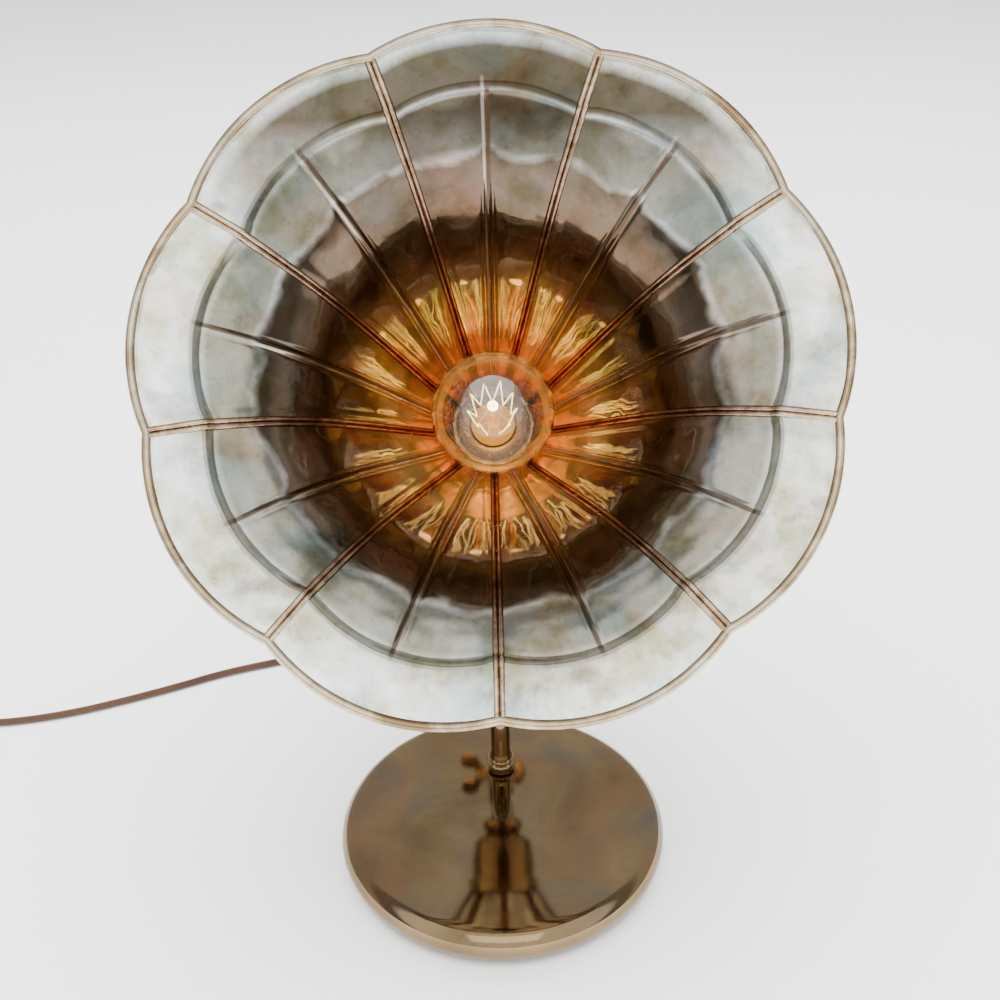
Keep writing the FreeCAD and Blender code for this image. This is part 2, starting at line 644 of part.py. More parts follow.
def bell_face(front, back, reach):
    """Closed face between two depths of the bell's meridian."""
    edges = []
    lines = []
    for depth in (front, back):
        points = meridian(depth, reach)
        curve = Part.BSplineCurve()
        curve.interpolate(points[3:])
        lines.append(points)
        edges += [Part.LineSegment(a, b).toShape() for a, b in zip(points[:3], points[1:4])]
        edges.append(curve.toShape())
    edges.append(Part.LineSegment(lines[0][0], lines[1][0]).toShape())
    edges.append(Part.LineSegment(lines[0][-1], lines[1][-1]).toShape())
    return Part.Face(Part.Wire(Part.__sortEdges__(edges)))


def wedge(inset):
    """Prism that holds one petal: straight sides parallel to its two seams."""
    half = math.pi / num("petals")
    apex = Vector(inset / math.sin(half), 0, 0)
    far = [apex + Vector(math.cos(half), side * math.sin(half), 0) * 300 for side in (-1, 1)]
    return Part.Face(Part.makePolygon([apex] + far + [apex])).extrude(AXIS_Z * 400)


def make_petals():
    """Petals of thin sheet, all alike, set round the bell's axis."""
    count, angle = int(num("petals")), 360 / num("petals")
    face = bell_face(0, num("sheet"), 246)
    face.rotate(Vector(), AXIS_Z, -angle / 2)
    sector = face.revolve(Vector(), AXIS_Z, angle)
    edge = num("lobe_arc") - num("roll_radius") + 0.05
    lobe = Part.makeCylinder(edge, 400, Vector(num("lobe_offset"), 0, 0))
    petal = sector.common(wedge(num("seam_width") / 2)).common(lobe)
    for index in range(count):
        shape = petal.copy()
        shape.rotate(Vector(), AXIS_Z, angle * (index + 0.5) - 90)
        solid_piece(f"horn_petal_{index + 1}", shape, ON_BELL_AXIS)


def make_seams():
    """Folded seams between the petals, all alike, one of them at the bottom of the bell."""
    count, angle = int(num("petals")), 360 / num("petals")
    face = bell_face(-num("seam_proud"), num("seam_back"), 225.5)
    face.rotate(Vector(), AXIS_Z, -angle / 4)
    sector = face.revolve(Vector(), AXIS_Z, angle / 2)
    width = num("seam_width")
    slab = Part.makeBox(300, width, 400, Vector(0, -width / 2, 0))
    seam = sector.common(slab)
    seams = []
    for index in range(count):
        shape = seam.copy()
        shape.rotate(Vector(), AXIS_Z, angle * index - 90)
        seams.append(shape)
    solid_piece("horn_seams", Part.makeCompound(seams), ON_BELL_AXIS)


def make_rim():
    """Rolled rim that follows all the lobes, meeting in a cusp at each seam."""
    count, angle = int(num("petals")), 360 / num("petals")
    centre = Vector(num("lobe_offset"), 0, num("mouth_height") - num("sheet") / 2)
    roll = Part.makeTorus(num("lobe_arc"), num("roll_radius"), centre, AXIS_Z)
    arc = roll.common(wedge(0))
    arcs = []
    for index in range(count):
        shape = arc.copy()
        shape.rotate(Vector(), AXIS_Z, angle * (index + 0.5) - 90)
        arcs.append(shape)
    solid_piece("horn_rim", arcs[0].multiFuse(arcs[1:]).removeSplitter(), ON_BELL_AXIS)


def make_ferrule():
    """Ring that holds the petals' narrow ends, with three grub screws."""
    inner, outer = dim("housing_radius"), dim("ferrule_radius")
    low, high = dim("ferrule_back"), dim("ferrule_back") + dim("ferrule_height")
    body = turned("throat_ferrule", [(inner, low), (outer, low), (outer, high), (inner, high)],
                  ON_BELL_AXIS)
    hole = new_sketch(body, "XZ_Plane", "grub_hole")
    circle(hole, dim("grub_radius"), 0, low + dim("grub_height"))
    cut = pocket(body, hole, outer)
    pattern = body.newObject("PartDesign::PolarPattern", "grub_pattern")
    pattern.Originals = [cut]
    pattern.Axis = ([f for f in body.Origin.OriginFeatures if f.Role == "Z_Axis"][0], [""])
    pattern.Angle = 360
    pattern.Occurrences = 3
    body.Tip = pattern
    screws = []
    for index in range(3):
        turn = math.radians(90 + 120 * index)
        out = Vector(math.cos(turn), math.sin(turn), 0)
        lift = AXIS_Z * (low + dim("grub_height")).value
        screws.append(rod(out * (inner.value + 0.02) + lift, out * outer.value + lift,
                          num("grub_radius")))
    solid_piece("ferrule_screws", Part.makeCompound(screws), ON_BELL_AXIS)


# ---------------------------------------------------------------- cord
CORD_TO_SWITCH = [(0, 158, 13), (-1, 178, 9.5), (-7, 200, 4.5), (-22, 221, 3.25),
                  (-41, 235.6, 4.5), (-62, 241.6, 7), (-81.2, 244, 7)]
CORD_TO_COIL = [(-138.8, 251, 7), (-158, 253.4, 6), (-180, 251.5, 3.25), (-205, 245, 3.25),
                (-236, 236, 3.25), (-272, 223.5, 3.25), (-306, 207, 3.25), (-352, 188, 3.25),
                (-396, 172, 3.25), (-438, 160.5, 3.25), (-470, 154, 3.25), (-497, 153, 3.25)]
CORD_TAIL = [(-541, 106, 3.25), (-541, 97.5, 4.4), (-540, 89.5, 7), (-540, 82, 7)]
COIL_CENTRE = Vector(-505, 117, 0)
PLUG_HEEL = Vector(-540, 82, 7)


def rounded_route(points):
    """Wire of straight runs joined by the largest tangent arcs that the runs allow."""
    points = [Vector(*point) for point in points]
    edges, last = [], points[0]
    for before, corner, after in zip(points, points[1:], points[2:]):
        into, out = (corner - before), (after - corner)
        half = into.getAngle(out) / 2
        trim = 0.45 * min(into.Length, out.Length)
        print(f"cord arc radius {trim / math.tan(half):.0f}")
        first = corner - into.normalize() * trim
        final = corner + out.normalize() * trim
        inward = (out - into).normalize()
        sag = trim / math.tan(half) * (1 / math.cos(half) - 1)
        edges += [Part.LineSegment(last, first), Part.Arc(first, corner + inward * sag, final)]
        last = final
    edges.append(Part.LineSegment(last, points[-1]))
    return Part.Wire([edge.toShape() for edge in edges])


def make_cord_piece(label, points):
    """A stretch of cord; its volume is compared with its section times its length."""
    wire = rounded_route(points)
    radius = num("cord_radius")
    shape = pipe(wire, radius)
    expected = math.pi * radius * radius * wire.Length
    print(f"{label}: length {wire.Length:.0f} volume ratio {shape.Volume / expected:.4f}")
    solid_piece(label, shape)


def make_coil():
    """The put-away length as one closed ring, with the tie over it."""
    inner, outer, height = dim("coil_inner"), dim("coil_outer"), dim("coil_height")
    edge = height * 0.35
    turned("cord_coil", [
        (inner, edge), (inner + edge, 0, edge), (outer - edge, 0), (outer, edge, edge),
        (outer, height - edge), (outer - edge, height, edge), (inner + edge, height),
        (inner, height - edge, edge)], FreeCAD.Placement(COIL_CENTRE, FreeCAD.Rotation()))
    wide, high = num("coil_outer") - num("coil_inner"), num("coil_height")
    band, across, fit = num("band"), num("band_width"), num("band_fit")
    outer_edge = COIL_CENTRE - Vector(across / 2, num("coil_outer") + fit, 0)
    inside = Part.makeBox(across, wide + 2 * fit, high + 0.1, outer_edge)
    outside = Part.makeBox(across, wide + 2 * (band + fit), high + band, outer_edge - AXIS_Y * band)
    solid_piece("coil_tie", outside.cut(inside))


def make_plug():
    """Flat two-pin plug lying on the floor."""
    place = FreeCAD.Placement(PLUG_HEEL, FreeCAD.Rotation(AXIS_X, 90))
    body = new_body("plug_body", place)
    shape = new_sketch(body, "XZ_Plane", "plan")
    heel, face = dim("plug_heel"), dim("plug_face")
    length = dim("plug_length")
    outline(shape, [(-heel, 0), (heel, 0), (face, length * 0.45), (face, length),
                    (-face, length), (-face, length * 0.45)])
    padded(body, shape, dim("plug_thick"), both_ways=True)
    pins = []
    for side in (-1, 1):
        foot = Vector(side * num("pin_pitch") / 2, 0, length.value)
        pins.append(rod(foot, foot + AXIS_Z * num("pin_length"), 2))
    solid_piece("plug_pins", Part.makeCompound(pins), place)


def make_switch():
    """Inline rocker switch on the cord: two shells and the rocker on its pin."""
    start, end = Vector(*CORD_TO_SWITCH[-1]), Vector(*CORD_TO_COIL[0])
    heading = math.degrees(math.atan2(end.y - start.y, end.x - start.x))
    middle = (start + end) * 0.5
    place = FreeCAD.Placement(Vector(middle.x, middle.y, 0), FreeCAD.Rotation(AXIS_Z, heading))
    length, width = dim("switch_length") * 0.5, dim("switch_width") * 0.5
    split, top, wall = dim("switch_split"), dim("switch_height"), dim("switch_wall")
    inset = wall + dim("switch_end")
    for label, low, high, floor in (("switch_lower", Size(0), split, wall),
                                    ("switch_upper", split, top, split)):
        body = new_body(label, place)
        block = new_sketch(body, "XY_Plane", "block", low)
        outline(block, [(-length, -width), (length, -width), (length, width), (-length, width)])
        padded(body, block, high - low)
        room = new_sketch(body, "XY_Plane", "room", high if floor is wall else high - wall)
        outline(room, [(inset - length, wall - width), (length - inset, wall - width),
                       (length - inset, width - wall), (inset - length, width - wall)])
        pocket(body, room, high - low - wall)
        for side in (-1, 1):
            ends = new_sketch(body, "YZ_Plane", f"cord_way_{side + 1}", length * side)
            circle(ends, dim("cord_radius"), 0, split)
            pocket(body, ends, inset + 0.2, reverse=side < 0)
        if label == "switch_upper":
            window = new_sketch(body, "XY_Plane", "window", high)
            along, across = dim("rocker_length") * 0.5 + 0.9, dim("rocker_width") * 0.5 + 0.4
            outline(window, [(-along, -across), (along, -across), (along, across),
                             (-along, across)])
            pocket(body, window, wall)
            pin_way = new_sketch(body, "XZ_Plane", "pin_way", -width)
            circle(pin_way, dim("rocker_pin") + dim("pin_fit"), 0, dim("rocker_pivot"))
            pocket(body, pin_way, width * 2, reverse=True)
    make_rocker(place)


def make_rocker(place):
    """Rocker with a shallow valley on top and a pin through it, resting in its on position."""
    turn = FreeCAD.Rotation(AXIS_Y, num("rocker_rest"))
    body = new_body("switch_rocker", place * FreeCAD.Placement(AXIS_Z * num("rocker_pivot"), turn))
    plan = new_sketch(body, "XZ_Plane", "side_view")
    half, top, heel = dim("rocker_length") * 0.5, dim("rocker_height"), Size(2)
    outline(plan, [(-half, heel), (-heel, 0), (heel, 0), (half, heel), (half, top),
                   (0, top - 1), (-half, top)])
    padded(body, plan, dim("rocker_width"), both_ways=True)
    pin = new_sketch(body, "XZ_Plane", "pin")
    circle(pin, dim("rocker_pin"))
    padded(body, pin, dim("switch_width"), both_ways=True)


# ---------------------------------------------------------------- making and writing
def check_all():
    """Stop if a feature failed or a sub-part has no sound shape."""
    doc.recompute()
    for item in doc.Objects:
        if "Invalid" in item.State or "Error" in item.State:
            raise RuntimeError(f"{item.Label}: {item.State}")
    for item in sub_parts:
        if item.Shape.isNull() or not item.Shape.isValid():
            raise RuntimeError(f"{item.Label}: shape is null or not valid")


def main():
    """Build every sub-part, check them and write one STEP file for each."""
    make_base()
    make_plate_screws()
    make_strain_relief()
    make_arm()
    make_arm_cable()
    make_knuckle()
    make_neck()
    make_housing()
    make_holder()
    make_bulb()
    make_petals()
    make_seams()
    make_rim()
    make_ferrule()
    make_cord_piece("cord_to_switch", CORD_TO_SWITCH)
    make_cord_piece("cord_to_coil", CORD_TO_COIL)
    make_cord_piece("cord_tail", CORD_TAIL)
    make_coil()
    make_plug()
    make_switch()
    check_all()
    os.makedirs("parts", exist_ok=True)
    for item in sub_parts:
        item.Shape.exportStep(f"parts/{item.Label}.step")
        print(f"{item.Label}: volume {item.Shape.Volume:.0f} solids {len(item.Shape.Solids)}")


main()
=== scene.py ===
"""Looks of the horn table lamp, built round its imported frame.

All lengths are metres. The bell frame used by the horn, the bulb and the housing has its origin on
the tilt axis, +Z along the bell's axis towards its mouth and +X to the lamp's right.
"""

import json
import logging
import math
from dataclasses import dataclass, field
from enum import Enum
from functools import cache
from typing import Callable, Sequence

import bpy
from mathutils import Matrix, Vector, noise

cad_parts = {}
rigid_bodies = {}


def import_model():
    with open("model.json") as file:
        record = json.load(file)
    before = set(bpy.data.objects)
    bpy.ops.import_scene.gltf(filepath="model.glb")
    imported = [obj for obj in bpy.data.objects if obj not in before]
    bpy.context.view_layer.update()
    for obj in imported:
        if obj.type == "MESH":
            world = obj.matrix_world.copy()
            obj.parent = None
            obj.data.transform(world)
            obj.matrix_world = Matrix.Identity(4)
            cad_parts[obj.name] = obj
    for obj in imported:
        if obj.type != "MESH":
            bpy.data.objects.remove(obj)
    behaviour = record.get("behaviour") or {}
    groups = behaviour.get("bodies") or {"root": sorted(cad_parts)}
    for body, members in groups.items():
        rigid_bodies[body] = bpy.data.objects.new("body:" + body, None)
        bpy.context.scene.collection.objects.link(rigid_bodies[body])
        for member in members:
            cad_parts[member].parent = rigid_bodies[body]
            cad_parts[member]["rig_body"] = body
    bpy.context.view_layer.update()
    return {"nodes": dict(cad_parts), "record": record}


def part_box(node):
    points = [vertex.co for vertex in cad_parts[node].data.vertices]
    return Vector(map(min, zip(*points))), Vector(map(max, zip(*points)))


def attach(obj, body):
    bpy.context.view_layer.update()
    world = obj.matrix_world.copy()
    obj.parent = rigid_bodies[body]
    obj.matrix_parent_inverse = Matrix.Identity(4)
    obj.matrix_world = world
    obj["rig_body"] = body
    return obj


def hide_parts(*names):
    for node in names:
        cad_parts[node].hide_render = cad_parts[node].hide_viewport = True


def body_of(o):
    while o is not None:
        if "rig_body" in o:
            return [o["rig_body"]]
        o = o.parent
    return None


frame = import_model()
LOG = logging.getLogger("horn_lamp")
MM = 0.001
Point = tuple[float, float, float]


# ---------------------------------------------------------------- modelling helpers
def deselect() -> None:
    """Leave edit mode and select nothing."""
    if bpy.context.object and bpy.context.object.mode != "OBJECT":
        bpy.ops.object.mode_set(mode="OBJECT")
    bpy.ops.object.select_all(action="DESELECT")


def activate(piece: bpy.types.Object) -> None:
    """Select one object alone and make it the active one.

    Args:
        piece: the object to work on.
    """
    deselect()
    piece.select_set(True)
    bpy.context.view_layer.objects.active = piece


def named(name: str) -> bpy.types.Object:
    """Name the object that an operator has just added.

    Args:
        name: the piece's name.

    Returns:
        The active object.
    """
    piece = bpy.context.object
    piece.name = name
    piece.data.name = name
    return piece


def apply_modifiers(piece: bpy.types.Object) -> None:
    """Apply every modifier of a piece, in order.

    Args:
        piece: the object to work on.
    """
    activate(piece)
    for modifier in list(piece.modifiers):
        bpy.ops.object.modifier_apply(modifier=modifier.name)


def smooth(piece: bpy.types.Object, degrees: float = 35.0) -> None:
    """Shade a piece smooth, keeping edges sharper than an angle."""
    activate(piece)
    bpy.ops.object.shade_smooth_by_angle(angle=math.radians(degrees))


def tidy_normals(piece: bpy.types.Object) -> None:
    """Merge doubled vertices and point the faces outwards.

    Args:
        piece: the object to work on.
    """
    activate(piece)
    bpy.ops.object.mode_set(mode="EDIT")
    bpy.ops.mesh.select_all(action="SELECT")
    bpy.ops.mesh.remove_doubles(threshold=1e-6)
    bpy.ops.mesh.normals_make_consistent(inside=False)
    bpy.ops.object.mode_set(mode="OBJECT")


def settle(piece: bpy.types.Object, place: Matrix) -> bpy.types.Object:
    """Bake a piece's place into its mesh, so that its object stays at the origin.

    Args:
        piece: a mesh object modelled in a local frame.
        place: the local frame's matrix.

    Returns:
        The same object.
    """
    piece.data.transform(place @ piece.matrix_world)
    piece.matrix_world = Matrix.Identity(4)
    return piece


def lathe(name: str, profile: Sequence[tuple[float, float]], sides: int = 96) -> bpy.types.Object:
    """Turn a shape from rings, each extruded from the one before and resized.

    Args:
        name: the piece's name.
        profile: (radius, height) stations; a radius of nought closes the shape in a point.
        sides: vertices in a ring.

    Returns:
        The mesh object, standing on its own Z axis.
    """
    deselect()
    radius, height = profile[0]
    start = max(radius, 1e-5)
    bpy.ops.mesh.primitive_circle_add(vertices=sides, radius=start, location=(0, 0, height))
    piece = named(name)
    bpy.ops.object.transform_apply(location=True)
    bpy.ops.object.mode_set(mode="EDIT")
    bpy.ops.mesh.select_all(action="SELECT")
    last = start
    for radius, rise in profile[1:]:
        radius = max(radius, 1e-5)
        bpy.ops.mesh.extrude_region_move(
            TRANSFORM_OT_translate={"value": (0, 0, rise - height)})
        bpy.ops.transform.resize(value=(radius / last, radius / last, 1),
                                 center_override=(0, 0, rise))
        last, height = radius, rise
    bpy.ops.object.mode_set(mode="OBJECT")
    tidy_normals(piece)
    return piece


def arc(centre: tuple[float, float], radius: float, start: float, end: float,
        steps: int) -> list[tuple[float, float]]:
    """Stations on a circular arc of a profile.

    Args:
        centre: (radius, height) of the arc's centre.
        radius: the arc's own radius.
        start: first angle in degrees, nought pointing away from the axis.
        end: last angle in degrees.
        steps: number of stretches.

    Returns:
        The stations, both ends included.
    """
    turns = [math.radians(start + (end - start) * k / steps) for k in range(steps + 1)]
    return [(centre[0] + radius * math.cos(t), centre[1] + radius * math.sin(t)) for t in turns]


def sheet_grid(name: str, across: int, along: int,
               place: Callable[[float, float], Point]) -> bpy.types.Object:
    """Shape a grid: each vertex goes where a rule for its two parameters says.

    Args:
        name: the piece's name.
        across: faces from side to side.
        along: faces from end to end.
        place: gives a point for (u from -1 to 1, v from 0 to 1).

    Returns:
        The mesh object with a UV map of its two parameters.
    """
    deselect()
    bpy.ops.mesh.primitive_grid_add(x_subdivisions=across, y_subdivisions=along, size=2,
                                    calc_uvs=True)
    piece = named(name)
    for vertex in piece.data.vertices:
        vertex.co = place(vertex.co.x, (vertex.co.y + 1) / 2)
    return piece


def bar(name: str, path: Sequence[Vector], radius: float, sides: int = 8,
        closed: bool = False) -> bpy.types.Object:
    """Bend a round wire along a path.

    Args:
        name: the piece's name.
        path: its corners.
        radius: the wire's radius.
        sides: detail of its section, in the curve's own measure.
        closed: whether the ends meet.

    Returns:
        A mesh object.
    """
    deselect()
    curve = bpy.data.curves.new(name, "CURVE")
    curve.dimensions = "3D"
    curve.bevel_depth = radius
    curve.bevel_resolution = max(sides // 4, 1)
    curve.use_fill_caps = not closed
    spline = curve.splines.new("POLY")
    spline.points.add(len(path) - 1)
    for point, corner in zip(spline.points, path):
        point.co = (*corner, 1)
    spline.use_cyclic_u = closed
    holder = bpy.data.objects.new(name, curve)
    bpy.context.collection.objects.link(holder)
    activate(holder)
    bpy.ops.object.convert(target="MESH")
    piece = named(name)
    smooth(piece, 50)
    return piece


def joined(name: str, pieces: Sequence[bpy.types.Object]) -> bpy.types.Object:
    """Join several mesh objects into one.

    Args:
        name: the joined piece's name.
        pieces: what to join.

    Returns:
        The joined object.
    """
    activate(pieces[0])
    for piece in pieces[1:]:
        piece.select_set(True)
    bpy.ops.object.join()
    return named(name)


# ---------------------------------------------------------------- material helpers
class Shader:
    """A material's node tree with short ways to add and join nodes."""

    def __init__(self, name: str) -> None:
        """Start a material with its Principled shader.

        Args:
            name: the material's name.
        """
        self.material = bpy.data.materials.new(name)
        self.material.use_nodes = True
        self.tree = self.material.node_tree
        self.surface = self.tree.nodes["Principled BSDF"]

    def node(self, kind: str, **values: object) -> bpy.types.Node:
        """Add a node and set its attributes or its input sockets.

        Args:
            kind: the node's type name.
            **values: attribute or socket names, spaces as underscores.

        Returns:
            The node.
        """
        made = self.tree.nodes.new(kind)
        for key, value in values.items():
            if hasattr(made, key):
                setattr(made, key, value)
            else:
                made.inputs[key.replace("_", " ")].default_value = value
        return made

    def join(self, source: bpy.types.NodeSocket, target: bpy.types.NodeSocket) -> None:
        """Link two sockets."""
        self.tree.links.new(source, target)

    def set(self, **values: object) -> None:
        """Set sockets of the Principled shader, spaces written as underscores."""
        for key, value in values.items():
            self.surface.inputs[key.replace("_", " ")].default_value = value

    def coordinates(self, kind: str = "Object") -> bpy.types.NodeSocket:
        """The piece's own coordinates."""
        return self.node("ShaderNodeTexCoord").outputs[kind]

    def parts(self, kind: str) -> bpy.types.bpy_prop_collection:
        """Split a set of coordinates.

        Args:
            kind: "UV", or "Object" for the piece's own.

        Returns:
            The sockets of its three parts.
        """
        split = self.node("ShaderNodeSeparateXYZ")
        self.join(self.coordinates(kind), split.inputs[0])
        return split.outputs

    def clouds(self, scale: float, detail: float = 4.0, rough: float = 0.55,
               warp: float = 0.0, source: bpy.types.NodeSocket | None = None,
               ) -> bpy.types.NodeSocket:
        """Noise on the piece's own coordinates.

        Args:
            scale: patches per metre.
            detail: octaves.
            rough: weight of the fine octaves.
            warp: distortion.
            source: coordinates, the object's own by default.

        Returns:
            The noise value.
        """
        made = self.node("ShaderNodeTexNoise", Scale=scale, Detail=detail, Roughness=rough,
                         Distortion=warp)
        self.join(source or self.coordinates(), made.inputs["Vector"])
        return made.outputs["Fac"]

    def ramp(self, value: bpy.types.NodeSocket,
             stops: Sequence[tuple[float, Sequence[float]]]) -> bpy.types.NodeSocket:
        """A colour ramp.

        Args:
            value: what is looked up.
            stops: (position, colour) pairs.

        Returns:
            The colour.
        """
        made = self.node("ShaderNodeValToRGB")
        band = made.color_ramp
        while len(band.elements) < len(stops):
            band.elements.new(0.5)
        for element, (position, colour) in zip(band.elements, stops):
            element.position = position
            element.color = (*colour, 1)
        self.join(value, made.inputs["Fac"])
        return made.outputs["Color"]

    def grade(self, value: bpy.types.NodeSocket, low: float, high: float, start: float = 0.0,
              end: float = 1.0) -> bpy.types.NodeSocket:
        """Map a stretch of values to another, clamped.

        Args:
            value: what is mapped.
            low: where the stretch begins.
            high: where it ends.
            start: what low becomes.
            end: what high becomes.

        Returns:
            The mapped value.
        """
        made = self.node("ShaderNodeMapRange")
        for socket, number in zip(made.inputs[1:5], (low, high, start, end)):
            socket.default_value = number
        self.join(value, made.inputs[0])
        return made.outputs[0]

    def mix(self, amount: bpy.types.NodeSocket | float, first: object, second: object,
            blend: str = "MIX") -> bpy.types.NodeSocket:
        """Mix two colours, each a socket or three numbers.

        Args:
            amount: how much of the second.
            first: the first colour.
            second: the second colour.
            blend: the way of mixing.

        Returns:
            The colour.
        """
        made = self.node("ShaderNodeMix", data_type="RGBA", blend_type=blend)
        for index, value in ((0, amount), (6, first), (7, second)):
            if isinstance(value, bpy.types.NodeSocket):
                self.join(value, made.inputs[index])
            elif index:
                made.inputs[index].default_value = (*value, 1)
            else:
                made.inputs[0].default_value = value
        return made.outputs[2]

    def math(self, operation: str, *values: bpy.types.NodeSocket | float,
             ) -> bpy.types.NodeSocket:
        """Take one step of arithmetic.

        Args:
            operation: the step's name.
            *values: sockets or numbers.

        Returns:
            The result.
        """
        made = self.node("ShaderNodeMath", operation=operation)
        for socket, value in zip(made.inputs, values):
            if isinstance(value, bpy.types.NodeSocket):
                self.join(value, socket)
            else:
                socket.default_value = value
        return made.outputs[0]

    def bump(self, height: bpy.types.NodeSocket, depth: float, strength: float = 1.0,
             before: bpy.types.NodeSocket | None = None) -> bpy.types.NodeSocket:
        """Bump the surface.

        Args:
            height: the relief.
            depth: its distance in metres.
            strength: how much of it shows.
            before: the normal of a coarser bump.

        Returns:
            The normal, which also goes to the Principled shader.
        """
        made = self.node("ShaderNodeBump", Strength=strength, Distance=depth)
        self.join(height, made.inputs["Height"])
        if before:
            self.join(before, made.inputs["Normal"])
        self.join(made.outputs[0], self.surface.inputs["Normal"])
        return made.outputs[0]

    def colour(self, source: bpy.types.NodeSocket) -> None:
        """Feed the base colour."""
        self.join(source, self.surface.inputs["Base Color"])

    def roughness(self, source: bpy.types.NodeSocket) -> None:
        """Feed the roughness."""
        self.join(source, self.surface.inputs["Roughness"])


@dataclass(frozen=True)
class AgedMetal:
    """A polished metal with drifting stains, smudges and fine scratches."""

    name: str
    clean: Point
    stain: Point
    tints: tuple[Point, ...]
    gloss: tuple[float, float] = (0.14, 0.34)
    patch: float = 22.0
    relief: float = 0.00008

    def make(self) -> bpy.types.Material:
        """Build the material."""
        shader = Shader(self.name)
        shader.set(Metallic=1.0)
        large = shader.clouds(self.patch, 5, 0.6, 0.6)
        colour = shader.ramp(large, [(0.36, self.stain), (0.62, self.clean)])
        for index, tint in enumerate(self.tints):
            drift = shader.clouds(self.patch * (0.55 + 0.4 * index) + index * 3.1, 3, 0.5, 1.0)
            amount = shader.grade(drift, 0.48, 0.72, 0.0, 0.6)
            colour = shader.mix(amount, colour, tint)
        speck = shader.grade(shader.clouds(900, 3, 0.7), 0.56, 0.7, 0.0, 0.35)
        colour = shader.mix(speck, colour, tuple(part * 0.45 for part in self.stain))
        shader.colour(colour)
        shader.roughness(shader.grade(shader.clouds(self.patch * 2.3, 6, 0.65, 0.4),
                                      0.3, 0.7, *self.gloss))
        wavy = shader.bump(shader.clouds(self.patch * 1.7, 2, 0.5), self.relief * 6, 0.5)
        shader.bump(shader.clouds(2600, 2, 0.6), self.relief, 0.35, wavy)
        return shader.material


